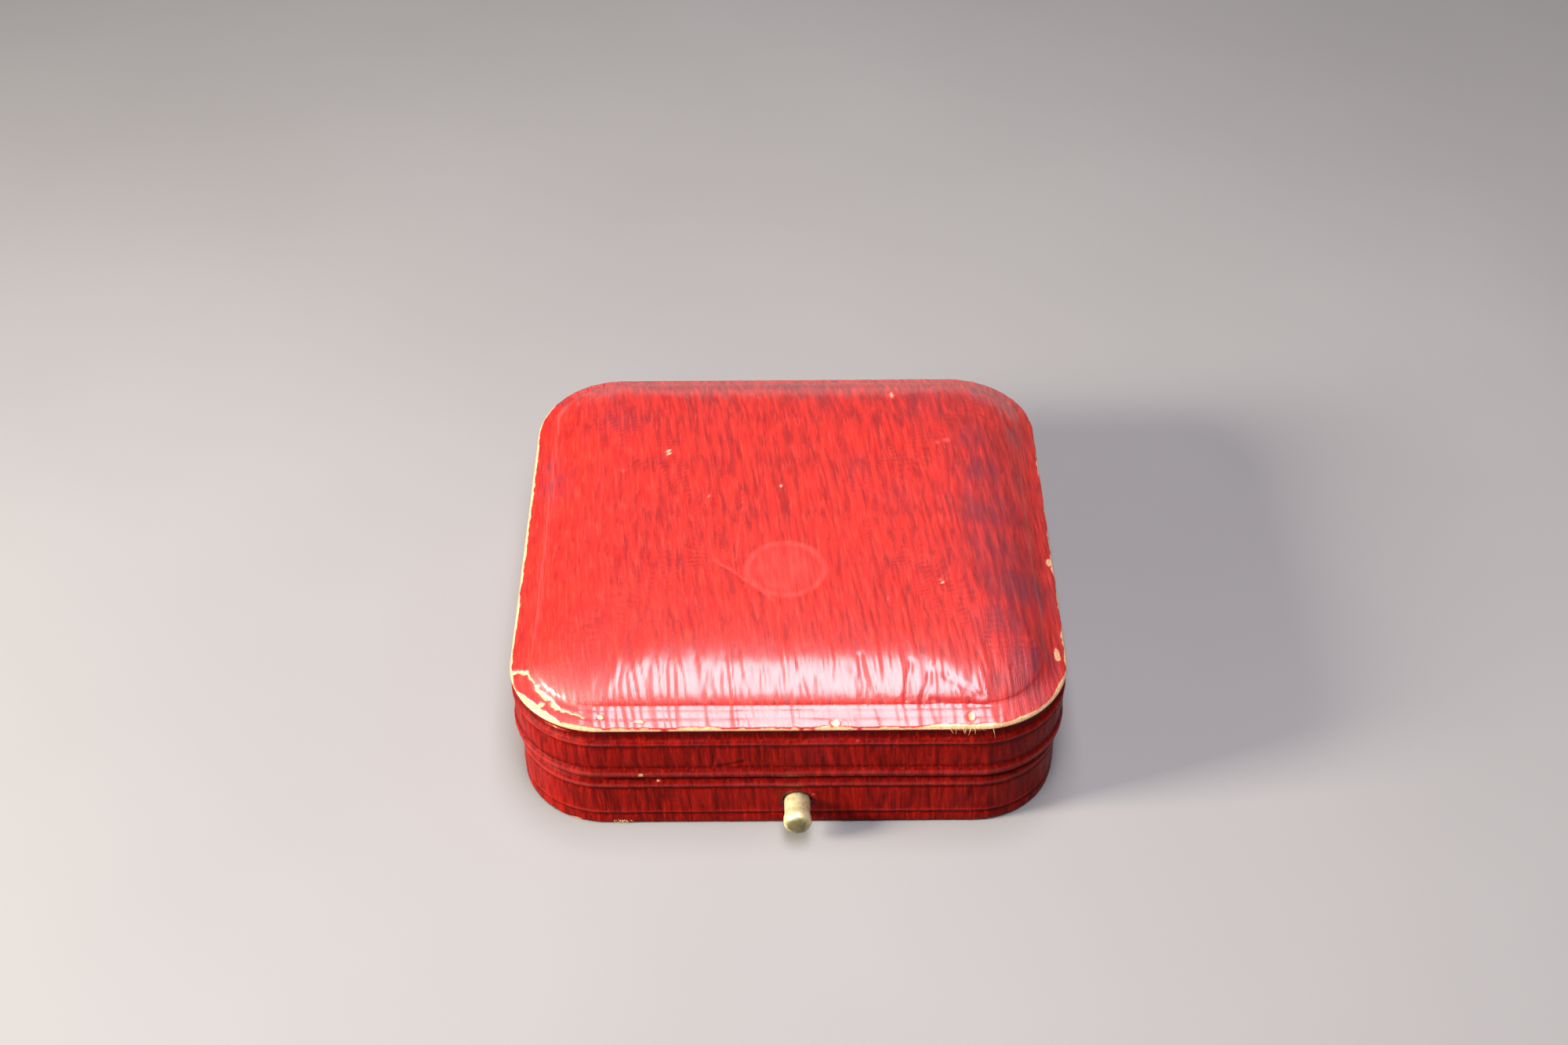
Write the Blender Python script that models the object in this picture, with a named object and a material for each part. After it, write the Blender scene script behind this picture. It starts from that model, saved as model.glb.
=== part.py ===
"""A small leather-covered jewellery case with a domed lid and a push-button catch.

Built the way such a case is made: glued wood frames and boards, leather skins over
them, a card collar that locates the lid, a velvet bed, a satin lid pad, a butt hinge
in the back of the seam and a sprung push-button catch in the front wall.

Frame: +Z up, the origin at the centre of the underside, the button faces -Y, the
hinge is at +Y. Blender units are metres.
"""

import math

import bpy
from mathutils import Matrix, Vector

MM = 0.001

# Driving sizes of the case.
LID_WIDTH = 70.0 * MM
LID_DEPTH = 68.0 * MM
LID_RADIUS = 11.8 * MM
BASE_INSET = 0.5 * MM
SEAM_Z = 9.1 * MM
SEAM_GAP = 0.2 * MM
EDGE_Z = 18.4 * MM
DOME_HEIGHT = 5.0 * MM
BORDER = 2.9 * MM
FIT_GAP = 0.15 * MM

# Walls, counted inwards from the outer face of the lid or of the base.
LEATHER = 0.7 * MM
WOOD_OUT = LEATHER + FIT_GAP
WOOD_IN = 3.6 * MM

# The base.
PANEL_THICK = 0.4 * MM
BOARD_Z = PANEL_THICK + FIT_GAP
BOARD_TOP = 1.75 * MM
BASE_TOP = SEAM_Z - SEAM_GAP / 2
BASE_WOOD_TOP = BASE_TOP - 0.1 * MM
COLLAR_OUT = 3.8 * MM
COLLAR_IN = 4.8 * MM
COLLAR_TOP = 11.6 * MM
LINING_IN = 5.3 * MM
BED_OUT = 5.5 * MM
BED_BOARD_TOP = 2.6 * MM
BED_TOP = 8.4 * MM
RECESS_FLOOR = 4.4 * MM
RECESS_HALF = (17.0 * MM, 12.0 * MM)
RECESS_RADIUS = 8.0 * MM

# The lid.
LID_BOTTOM = SEAM_Z + SEAM_GAP / 2
LID_WOOD_BOTTOM = LID_BOTTOM + 0.1 * MM
TOP_BOARD_Z = 16.0 * MM
TOP_BOARD_TOP = EDGE_Z - LEATHER - FIT_GAP
LID_LINING_IN = 4.1 * MM
PAD_BOARD_Z = 15.05 * MM
PAD_Z = 13.2 * MM
PAD_OUT = 4.6 * MM

# The push-button catch.
BUTTON_X = 1.0 * MM
BUTTON_Z = 3.8 * MM
BUTTON_RADIUS = 1.75 * MM
BUTTON_PROUD = 4.0 * MM
BUTTON_HOLE = 1.88 * MM
STEM_RADIUS = 1.0 * MM
STEM_HOLE = 1.08 * MM
TAIL_RADIUS = 0.55 * MM
BOLT_THICK = 0.6 * MM
BOLT_HALF = 2.0 * MM
BOLT_TOP = 10.9 * MM
HOUSING_TOP = 6.6 * MM
SHEET = 0.5 * MM

# The hinge: a butt hinge whose pin lies just behind the back wall.
HINGE_HALF = 15.0 * MM
HINGE_KNUCKLE = 7.5 * MM
HINGE_RADIUS = 1.0 * MM
HINGE_PIN = 0.52 * MM
HINGE_BORE = 0.6 * MM
HINGE_LEAF = 0.4 * MM
HINGE_REACH = 3.1 * MM
HINGE_Y = LID_DEPTH / 2 - BASE_INSET + 0.2 * MM

NAIL_SHANK = 0.3 * MM
NAIL_HOLE = 0.4 * MM
NAIL_HEAD = 0.7 * MM

CORNER_STEPS = 8
ROUND_SIDES = 24
NAIL_SIDES = 12

BASE_HALF = (LID_WIDTH / 2 - BASE_INSET, LID_DEPTH / 2 - BASE_INSET)
LID_HALF = (LID_WIDTH / 2, LID_DEPTH / 2)
BASE_RADIUS = LID_RADIUS - BASE_INSET
BASE_FRONT = -BASE_HALF[1]
LID_FRONT = -LID_HALF[1]
WOOD_FACE = BASE_FRONT + WOOD_IN
BOLT_Y = WOOD_FACE + 0.1 * MM
HOUSING_BACK = WOOD_FACE + 3.5 * MM


# ---------------------------------------------------------------- mesh helpers


def clear_scene():
    for obj in list(bpy.data.objects):
        bpy.data.objects.remove(obj, do_unlink=True)


def material(name, color, roughness, metallic=0.0):
    made = bpy.data.materials.new(name)
    made.use_nodes = True
    shader = made.node_tree.nodes["Principled BSDF"]
    shader.inputs["Base Color"].default_value = (*color, 1.0)
    shader.inputs["Roughness"].default_value = roughness
    shader.inputs["Metallic"].default_value = metallic
    made.diffuse_color = (*color, 1.0)
    return made


def rounded_ring(half, radius, z):
    """The points of a rounded rectangle at height z, anticlockwise from above."""
    points = []
    corners = ((1, 1, 0), (-1, 1, 90), (-1, -1, 180), (1, -1, 270))
    for side_x, side_y, start in corners:
        centre_x = side_x * (half[0] - radius)
        centre_y = side_y * (half[1] - radius)
        for step in range(CORNER_STEPS + 1):
            angle = math.radians(start + 90 * step / CORNER_STEPS)
            x = centre_x + radius * math.cos(angle)
            y = centre_y + radius * math.sin(angle)
            points.append(Vector((x, y, z)))
    return points


def base_ring(inset, z):
    half = (BASE_HALF[0] - inset, BASE_HALF[1] - inset)
    return rounded_ring(half, BASE_RADIUS - inset, z)


def lid_ring(inset, z):
    half = (LID_HALF[0] - inset, LID_HALF[1] - inset)
    return rounded_ring(half, LID_RADIUS - inset, z)


def circle_ring(radius, z, sides):
    turn = 2 * math.pi / sides
    return [
        Vector((radius * math.cos(turn * k), radius * math.sin(turn * k), z))
        for k in range(sides)
    ]


def solid_from_rings(name, rings, finish, hollow=False):
    """Skins rings of equal count, listed bottom to top on the outside.

    A hollow solid goes on down its inside, and its last ring joins the first.
    """
    count = len(rings[0])
    points = [point for ring in rings for point in ring]
    faces = []
    spans = len(rings) if hollow else len(rings) - 1
    for span in range(spans):
        low = span * count
        high = (span + 1) % len(rings) * count
        for k in range(count):
            after = (k + 1) % count
            faces.append((low + k, low + after, high + after, high + k))
    if not hollow:
        top = (len(rings) - 1) * count
        faces.append(tuple(reversed(range(count))))
        faces.append(tuple(range(top, top + count)))
    mesh = bpy.data.meshes.new(name)
    mesh.from_pydata(points, [], faces)
    mesh.validate()
    return add_object(name, mesh, finish)


def add_object(name, mesh, finish):
    obj = bpy.data.objects.new(name, mesh)
    bpy.context.scene.collection.objects.link(obj)
    if finish:
        mesh.materials.append(finish)
        mesh.shade_smooth()
        mesh.set_sharp_from_angle(angle=math.radians(35))
    return obj


def box(name, low, high, finish=None):
    (x0, y0, z0), (x1, y1, z1) = low, high
    rings = [
        [Vector((x1, y1, z)), Vector((x0, y1, z)), Vector((x0, y0, z)), Vector((x1, y0, z))]
        for z in (z0, z1)
    ]
    return solid_from_rings(name, rings, finish)


def turned(name, profile, place, direction, finish=None, sides=ROUND_SIDES):
    """Turns (distance, radius) points about an axis that starts at place."""
    rings = [circle_ring(radius, along, sides) for along, radius in profile]
    obj = solid_from_rings(name, rings, finish)
    obj.location = place
    obj.rotation_mode = "QUATERNION"
    obj.rotation_quaternion = Vector((0, 0, 1)).rotation_difference(Vector(direction))
    return obj


def as_cutter(obj):
    obj.hide_render = True
    obj.display_type = "WIRE"
    return obj


def box_cutter(name, low, high):
    return as_cutter(box(name, low, high))


def drill(name, start, direction, length, radius, sides=ROUND_SIDES):
    profile = [(0, radius), (length, radius)]
    return as_cutter(turned(name, profile, start, direction, sides=sides))


def boolean(obj, other, operation="DIFFERENCE"):
    modifier = obj.modifiers.new(f"{operation.lower()}_{other.name}", "BOOLEAN")
    modifier.operation = operation
    modifier.object = other


def attach(parent, children):
    for child in children:
        child.parent = parent
        child.matrix_parent_inverse = Matrix.Translation(-parent.location)


def pivot(name, place):
    empty = bpy.data.objects.new(name, None)
    bpy.context.scene.collection.objects.link(empty)
    empty.empty_display_size = 5 * MM
    empty.location = place
    return empty


# ---------------------------------------------------------------- cutters


def catch_cutters():
    """Room for the catch: under the bed, and a slot for its tongue in the collar."""
    left, right = BUTTON_X - 7.8 * MM, BUTTON_X + 7.8 * MM
    front = WOOD_FACE + 0.05 * MM
    chamber = box_cutter(
        "cut_chamber",
        (left, front, 1.8 * MM),
        (right, HOUSING_BACK + 2.4 * MM, HOUSING_TOP + 0.5 * MM),
    )
    slot = box_cutter(
        "cut_tongue_slot",
        (BUTTON_X - 2.6 * MM, front, HOUSING_TOP),
        (BUTTON_X + 2.6 * MM, WOOD_FACE + 2.3 * MM, COLLAR_TOP + 1 * MM),
    )
    return [chamber, slot]


def button_hole_cutters():
    outside = (BUTTON_X, BASE_FRONT - 1 * MM, BUTTON_Z)
    wide = drill("cut_button_hole", outside, (0, 1, 0), 3.8 * MM, BUTTON_HOLE)
    narrow = drill("cut_stem_hole", outside, (0, 1, 0), 6 * MM, STEM_HOLE)
    return [wide, narrow]


def hinge_cutters():
    half = HINGE_HALF + 0.3 * MM
    start = (-half, HINGE_Y, SEAM_Z)
    barrel = drill("cut_hinge_barrel", start, (1, 0, 0), 2 * half, HINGE_RADIUS + 0.3 * MM)
    front = HINGE_Y - HINGE_REACH - 0.2 * MM
    leaves = box_cutter(
        "cut_hinge_leaves",
        (-half, front, SEAM_Z - 0.8 * MM),
        (half, HINGE_Y + 1 * MM, SEAM_Z + 0.8 * MM),
    )
    return [barrel, leaves]


def keeper_cutter():
    front = LID_FRONT + WOOD_IN - 0.6 * MM
    return box_cutter(
        "cut_keeper_rebate",
        (BUTTON_X - 4.15 * MM, front, LID_BOTTOM - 1 * MM),
        (BUTTON_X + 4.15 * MM, front + 1.3 * MM, 14.4 * MM),
    )


def cut(obj, cutters):
    for cutter in cutters:
        boolean(obj, cutter)


# ---------------------------------------------------------------- base


def base_wood_frame(finish):
    rings = [
        base_ring(WOOD_OUT, BOARD_Z),
        base_ring(WOOD_OUT, BASE_WOOD_TOP),
        base_ring(WOOD_IN, BASE_WOOD_TOP),
        base_ring(WOOD_IN, BOARD_Z),
    ]
    return solid_from_rings("base_wood_frame", rings, finish, hollow=True)


def base_bottom_board(finish):
    inset = WOOD_IN + FIT_GAP
    rings = [base_ring(inset, BOARD_Z), base_ring(inset, BOARD_TOP)]
    return solid_from_rings("base_bottom_board", rings, finish)


def base_underside_panel(finish):
    inset = LEATHER + FIT_GAP
    rings = [base_ring(inset, 0.0), base_ring(inset, PANEL_THICK)]
    return solid_from_rings("base_underside_panel", rings, finish)


def base_side_leather(finish):
    round_over = 0.3 * MM
    rings = [
        base_ring(round_over, 0.0),
        base_ring(0.0, round_over),
        base_ring(0.0, BASE_TOP - round_over),
        base_ring(round_over, BASE_TOP),
        base_ring(LEATHER, BASE_TOP),
        base_ring(LEATHER, 0.0),
    ]
    return solid_from_rings("base_side_leather", rings, finish, hollow=True)


def base_collar(finish):
    bottom = BOARD_TOP + FIT_GAP
    soften = 0.25 * MM
    rings = [
        base_ring(COLLAR_OUT, bottom),
        base_ring(COLLAR_OUT, COLLAR_TOP - soften),
        base_ring(COLLAR_OUT + soften, COLLAR_TOP),
        base_ring(COLLAR_IN - soften, COLLAR_TOP),
        base_ring(COLLAR_IN, COLLAR_TOP - soften),
        base_ring(COLLAR_IN, bottom),
    ]
    return solid_from_rings("base_collar", rings, finish, hollow=True)


def collar_lining(finish):
    bottom = BED_BOARD_TOP + 0.4 * MM
    top = COLLAR_TOP - 0.3 * MM
    rings = [
        base_ring(COLLAR_IN + FIT_GAP, bottom),
        base_ring(COLLAR_IN + FIT_GAP, top),
        base_ring(LINING_IN, top),
        base_ring(LINING_IN, bottom),
    ]
    return solid_from_rings("collar_lining", rings, finish, hollow=True)


def bed_board(finish):
    inset = COLLAR_IN + FIT_GAP
    bottom = BOARD_TOP + FIT_GAP
    rings = [base_ring(inset, bottom), base_ring(inset, BED_BOARD_TOP)]
    return solid_from_rings("bed_board", rings, finish)


def velvet_bed(finish):
    """A padded bed with a rounded well for a brooch or a pendant."""
    bottom = BED_BOARD_TOP + FIT_GAP
    soften = 0.8 * MM
    slope = 2.0 * MM
    lip_half = (RECESS_HALF[0] + soften, RECESS_HALF[1] + soften)
    floor_half = (RECESS_HALF[0] - slope, RECESS_HALF[1] - slope)
    rings = [
        base_ring(BED_OUT, bottom),
        base_ring(BED_OUT, BED_TOP - soften),
        base_ring(BED_OUT + soften, BED_TOP),
        rounded_ring(lip_half, RECESS_RADIUS + soften, BED_TOP),
        rounded_ring(RECESS_HALF, RECESS_RADIUS, BED_TOP - soften),
        rounded_ring(floor_half, RECESS_RADIUS - slope, RECESS_FLOOR),
    ]
    return solid_from_rings("velvet_bed", rings, finish)


# ---------------------------------------------------------------- catch


def push_button(finish):
    """One turned piece: domed head, waist, guide, stem and a thin tail for the spring."""
    proud = BUTTON_PROUD
    wall = LEATHER * 2
    stem_end = -BASE_FRONT + WOOD_FACE
    plate_end = stem_end + 0.1 * MM + BOLT_THICK + 0.08 * MM
    tail_end = HOUSING_BACK - BASE_FRONT + SHEET + 0.5 * MM
    profile = [
        (-proud, BUTTON_RADIUS * 0.35),
        (-proud + 0.15 * MM, BUTTON_RADIUS * 0.68),
        (-proud + 0.45 * MM, BUTTON_RADIUS * 0.9),
        (-proud + 0.9 * MM, BUTTON_RADIUS),
        (-proud + 1.7 * MM, BUTTON_RADIUS),
        (-proud + 2.1 * MM, BUTTON_RADIUS * 0.93),
        (-0.3 * MM, BUTTON_RADIUS * 0.93),
        (wall, BUTTON_RADIUS * 0.93),
        (wall, STEM_RADIUS),
        (stem_end, STEM_RADIUS),
        (stem_end, STEM_RADIUS * 0.8),
        (plate_end, STEM_RADIUS * 0.8),
        (plate_end, TAIL_RADIUS),
        (tail_end, TAIL_RADIUS),
    ]
    place = (BUTTON_X, BASE_FRONT, BUTTON_Z)
    return turned("push_button", profile, place, (0, 1, 0), finish)


def latch_bolt(finish):
    """The plate riveted on the button's stem; its tongue stands up with a sloped nose."""
    back = BOLT_Y + BOLT_THICK
    nose = BOLT_Y - 0.42 * MM
    outline = [
        (back, 2.2 * MM),
        (back, BOLT_TOP),
        (BOLT_Y + 0.1 * MM, BOLT_TOP),
        (nose, BOLT_TOP - 0.5 * MM),
        (nose, BOLT_TOP - 0.75 * MM),
        (BOLT_Y, BOLT_TOP - 0.75 * MM),
        (BOLT_Y, 2.2 * MM),
    ]
    rings = [
        [Vector((BUTTON_X + side * BOLT_HALF, y, z)) for y, z in outline]
        for side in (1, -1)
    ]
    obj = solid_from_rings("latch_bolt", rings, finish)
    start = (BUTTON_X, BOLT_Y - 1 * MM, BUTTON_Z)
    boolean(obj, drill("cut_bolt_hole", start, (0, 1, 0), 4 * MM, STEM_RADIUS * 0.8 + 0.08 * MM))
    return obj


def latch_housing(finish):
    """A folded brass channel behind the bolt, with an ear on each side."""
    inner = 3.9 * MM
    outer = inner + SHEET
    ear = outer + 3.0 * MM
    front = WOOD_FACE + 0.15 * MM
    back = HOUSING_BACK + SHEET
    outline = [
        (ear, front),
        (ear, front + SHEET),
        (outer, front + SHEET),
        (outer, back),
        (-outer, back),
        (-outer, front + SHEET),
        (-ear, front + SHEET),
        (-ear, front),
        (-inner, front),
        (-inner, HOUSING_BACK),
        (inner, HOUSING_BACK),
        (inner, front),
    ]
    rings = [[Vector((BUTTON_X + x, y, z)) for x, y in outline] for z in (2.2 * MM, HOUSING_TOP)]
    obj = solid_from_rings("latch_housing", rings, finish)
    start = (BUTTON_X, HOUSING_BACK - 1 * MM, BUTTON_Z)
    boolean(obj, drill("cut_tail_hole", start, (0, 1, 0), 3 * MM, TAIL_RADIUS + 0.08 * MM))
    return obj


def coil_spring(finish):
    """The return spring round the button's tail, from the bolt to the housing."""
    wire = 0.14 * MM
    coil = 0.95 * MM
    turns = 3
    steps = 12
    sides = 6
    start = BOLT_Y + BOLT_THICK + wire + 0.06 * MM
    end = HOUSING_BACK - wire - 0.06 * MM
    points = []
    for k in range(turns * steps + 1):
        angle = 2 * math.pi * k / steps
        along = start + (end - start) * k / (turns * steps)
        outward = Vector((math.cos(angle), 0, math.sin(angle)))
        centre = outward * coil + Vector((BUTTON_X, along, BUTTON_Z))
        ring = []
        for side in range(sides):
            turn = 2 * math.pi * side / sides
            across = outward * math.cos(turn) + Vector((0, 1, 0)) * math.sin(turn)
            ring.append(centre + wire * across)
        points.append(ring)
    return solid_from_rings("latch_spring", points, finish)


def nail(name, place, direction, shank_length, finish):
    """A round nail: its head starts at place, and its shank runs along direction."""
    head = 0.2 * MM
    profile = [
        (0.0, NAIL_HEAD * 0.8),
        (head * 0.4, NAIL_HEAD),
        (head, NAIL_HEAD),
        (head, NAIL_SHANK),
        (head + shank_length * 0.8, NAIL_SHANK),
        (head + shank_length, NAIL_SHANK * 0.25),
    ]
    return turned(name, profile, place, direction, finish, NAIL_SIDES)


def nail_hole(name, place, direction, shank_length):
    depth = shank_length + 0.7 * MM
    return drill(name, place, direction, depth, NAIL_HOLE, NAIL_SIDES)


# ---------------------------------------------------------------- hinge


def hinge_leaf(name, low_z, knuckles, finish):
    """A flat leaf in the seam, with a tab and a knuckle at each span of knuckles."""
    front = HINGE_Y - HINGE_REACH
    edge = HINGE_Y - HINGE_RADIUS - 0.25 * MM
    leaf = box(name, (-HINGE_HALF, front, low_z), (HINGE_HALF, edge, low_z + HINGE_LEAF), finish)
    for k, (start, end) in enumerate(knuckles):
        tab = box_cutter(
            f"{name}_tab_{k}",
            (start, edge - 0.5 * MM, low_z),
            (end, HINGE_Y - 0.35 * MM, low_z + HINGE_LEAF),
        )
        boolean(leaf, tab, "UNION")
        barrel = drill(
            f"{name}_barrel_{k}",
            (start, HINGE_Y, SEAM_Z),
            (1, 0, 0),
            end - start,
            HINGE_RADIUS,
        )
        boolean(leaf, barrel, "UNION")
    bore_start = (-HINGE_HALF - 1 * MM, HINGE_Y, SEAM_Z)
    bore_length = 2 * HINGE_HALF + 2 * MM
    bore = drill(f"{name}_bore", bore_start, (1, 0, 0), bore_length, HINGE_BORE)
    boolean(leaf, bore)
    return leaf


def hinge_pin(finish):
    dome = 0.15 * MM
    end = HINGE_HALF + 0.1 * MM
    profile = [
        (-end, HINGE_PIN * 0.7),
        (-end + dome, HINGE_PIN),
        (end - dome, HINGE_PIN),
        (end, HINGE_PIN * 0.7),
    ]
    return turned("hinge_pin", profile, (0, HINGE_Y, SEAM_Z), (1, 0, 0), finish)


# ---------------------------------------------------------------- lid


def lid_wood_frame(finish):
    top = TOP_BOARD_Z - FIT_GAP
    rings = [
        lid_ring(WOOD_OUT, LID_WOOD_BOTTOM),
        lid_ring(WOOD_OUT, top),
        lid_ring(WOOD_IN, top),
        lid_ring(WOOD_IN, LID_WOOD_BOTTOM),
    ]
    return solid_from_rings("lid_wood_frame", rings, finish, hollow=True)


def lid_top_board(finish):
    rings = [lid_ring(WOOD_OUT, TOP_BOARD_Z), lid_ring(WOOD_OUT, TOP_BOARD_TOP)]
    return solid_from_rings("lid_top_board", rings, finish)


def dome_ring(foot_inset, height, base_z, inward):
    """One ring of the dome; inward runs from 0 at its foot to 1 at its middle."""
    half = (LID_HALF[0] - foot_inset, LID_HALF[1] - foot_inset)
    share = 1 - inward
    radius = (LID_RADIUS - foot_inset) * share
    rise = (1 - share**6) ** 0.68
    return rounded_ring((half[0] * share, half[1] * share), radius, base_z + height * rise)


DOME_STEPS = (0.0, 0.008, 0.025, 0.055, 0.1, 0.17, 0.27, 0.42, 0.62)


def lid_dome_core(finish):
    bottom = EDGE_Z - LEATHER
    foot = BORDER + LEATHER + FIT_GAP
    height = DOME_HEIGHT - FIT_GAP
    rings = [dome_ring(foot, height, bottom, inward) for inward in DOME_STEPS]
    return solid_from_rings("lid_dome_core", rings, finish)


def lid_top_leather(finish):
    """One skin over the border and the dome; it stays a constant thickness."""
    round_over = 0.45 * MM
    bottom = EDGE_Z - LEATHER
    under = [
        dome_ring(BORDER + LEATHER, DOME_HEIGHT, bottom, inward)
        for inward in reversed(DOME_STEPS)
    ]
    over = [dome_ring(BORDER, DOME_HEIGHT, EDGE_Z, inward) for inward in DOME_STEPS]
    rings = under + [lid_ring(0.0, bottom), lid_ring(0.0, EDGE_Z - round_over)]
    rings += [lid_ring(round_over, EDGE_Z)] + over
    return solid_from_rings("lid_top_leather", rings, finish)


def lid_side_leather(finish):
    round_over = 0.3 * MM
    top = EDGE_Z - LEATHER - FIT_GAP
    rings = [
        lid_ring(round_over, LID_BOTTOM),
        lid_ring(0.0, LID_BOTTOM + round_over),
        lid_ring(0.0, top),
        lid_ring(LEATHER, top),
        lid_ring(LEATHER, LID_BOTTOM),
    ]
    return solid_from_rings("lid_side_leather", rings, finish, hollow=True)


def lid_wall_lining(finish):
    bottom = LID_WOOD_BOTTOM
    top = TOP_BOARD_Z - FIT_GAP
    rings = [
        lid_ring(WOOD_IN + FIT_GAP, bottom),
        lid_ring(WOOD_IN + FIT_GAP, top),
        lid_ring(LID_LINING_IN, top),
        lid_ring(LID_LINING_IN, bottom),
    ]
    return solid_from_rings("lid_wall_lining", rings, finish, hollow=True)


def lid_pad_board(finish):
    inset = LID_LINING_IN + FIT_GAP
    rings = [lid_ring(inset, PAD_BOARD_Z), lid_ring(inset, TOP_BOARD_Z - FIT_GAP)]
    return solid_from_rings("lid_pad_board", rings, finish)


def lid_satin_pad(finish):
    """The stuffed pad under the lid, crowned downwards."""
    top = PAD_BOARD_Z - FIT_GAP
    depth = top - PAD_Z
    rings = [
        lid_ring(PAD_OUT + 4.5 * MM, PAD_Z),
        lid_ring(PAD_OUT + 1.2 * MM, PAD_Z + depth * 0.3),
        lid_ring(PAD_OUT, PAD_Z + depth * 0.65),
        lid_ring(PAD_OUT, top),
    ]
    return solid_from_rings("lid_satin_pad", rings, finish)


def lid_keeper(finish):
    """The brass plate in the lid's front wall, with a window for the bolt's nose."""
    inner = LID_FRONT + WOOD_IN
    outer = inner - 0.45 * MM
    low = (BUTTON_X - 4 * MM, outer, 9.6 * MM)
    high = (BUTTON_X + 4 * MM, inner, 14.2 * MM)
    obj = box("lid_keeper", low, high, finish)
    window = box_cutter(
        "cut_keeper_window",
        (BUTTON_X - 2.4 * MM, outer - 1 * MM, 9.95 * MM),
        (BUTTON_X + 2.4 * MM, inner + 1 * MM, 11.5 * MM),
    )
    boolean(obj, window)
    return obj


# ---------------------------------------------------------------- assembly


def finishes():
    return {
        "leather": material("red_leather", (0.56, 0.015, 0.012), 0.32),
        "wood": material("limewood", (0.55, 0.38, 0.22), 0.6),
        "card": material("card", (0.62, 0.52, 0.38), 0.85),
        "panel": material("underside_paper", (0.16, 0.02, 0.03), 0.8),
        "velvet": material("ivory_velvet", (0.78, 0.7, 0.56), 0.9),
        "satin": material("ivory_satin", (0.82, 0.76, 0.64), 0.35),
        "brass": material("brass", (0.72, 0.52, 0.22), 0.3, 1.0),
        "button": material("aged_button_metal", (0.8, 0.76, 0.52), 0.35, 1.0),
        "steel": material("spring_steel", (0.5, 0.5, 0.52), 0.3, 1.0),
    }


def make_base(look):
    frame = base_wood_frame(look["wood"])
    base_bottom_board(look["card"])
    base_underside_panel(look["panel"])
    leather = base_side_leather(look["leather"])
    collar = base_collar(look["card"])
    lining = collar_lining(look["velvet"])
    board = bed_board(look["card"])
    bed = velvet_bed(look["velvet"])
    catch_room = catch_cutters()
    for obj in (collar, lining, board, bed):
        cut(obj, catch_room)
    wide, narrow = button_hole_cutters()
    cut(leather, [wide])
    cut(frame, [wide, narrow])
    return frame, leather


def make_catch(look, base_frame):
    """The housing and its nails; returns the pieces that move with the button."""
    button = push_button(look["button"])
    bolt = latch_bolt(look["brass"])
    housing = latch_housing(look["brass"])
    coil_spring(look["steel"])
    head_y = WOOD_FACE + 0.15 * MM + SHEET + 0.25 * MM
    for side, word in ((-1, "left"), (1, "right")):
        place = (BUTTON_X + side * 5.9 * MM, head_y, 4.8 * MM)
        nail(f"latch_nail_{word}", place, (0, -1, 0), 2.2 * MM, look["brass"])
        hole = nail_hole(f"cut_latch_nail_{word}", place, (0, -1, 0), 2.2 * MM)
        cut(housing, [hole])
        cut(base_frame, [hole])
    slide = pivot("button_slide", (BUTTON_X, BASE_FRONT, BUTTON_Z))
    attach(slide, [button, bolt])


def make_lid(look):
    """The lid's own pieces, without the hinge."""
    frame = lid_wood_frame(look["wood"])
    side = lid_side_leather(look["leather"])
    lining = lid_wall_lining(look["satin"])
    keeper = lid_keeper(look["brass"])
    rebate = keeper_cutter()
    cut(frame, [rebate])
    cut(lining, [rebate])
    pieces = [
        frame,
        side,
        lining,
        keeper,
        lid_top_board(look["wood"]),
        lid_dome_core(look["card"]),
        lid_top_leather(look["leather"]),
        lid_pad_board(look["card"]),
        lid_satin_pad(look["satin"]),
    ]
    head_y = LID_FRONT + WOOD_IN + 0.25 * MM
    for place_x, word in ((-2.6 * MM, "left"), (2.6 * MM, "right")):
        place = (BUTTON_X + place_x, head_y, 12.9 * MM)
        pieces.append(nail(f"keeper_nail_{word}", place, (0, -1, 0), 1.6 * MM, look["brass"]))
        hole = nail_hole(f"cut_keeper_nail_{word}", place, (0, -1, 0), 1.6 * MM)
        cut(keeper, [hole])
        cut(frame, [hole])
    return frame, side, pieces


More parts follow.
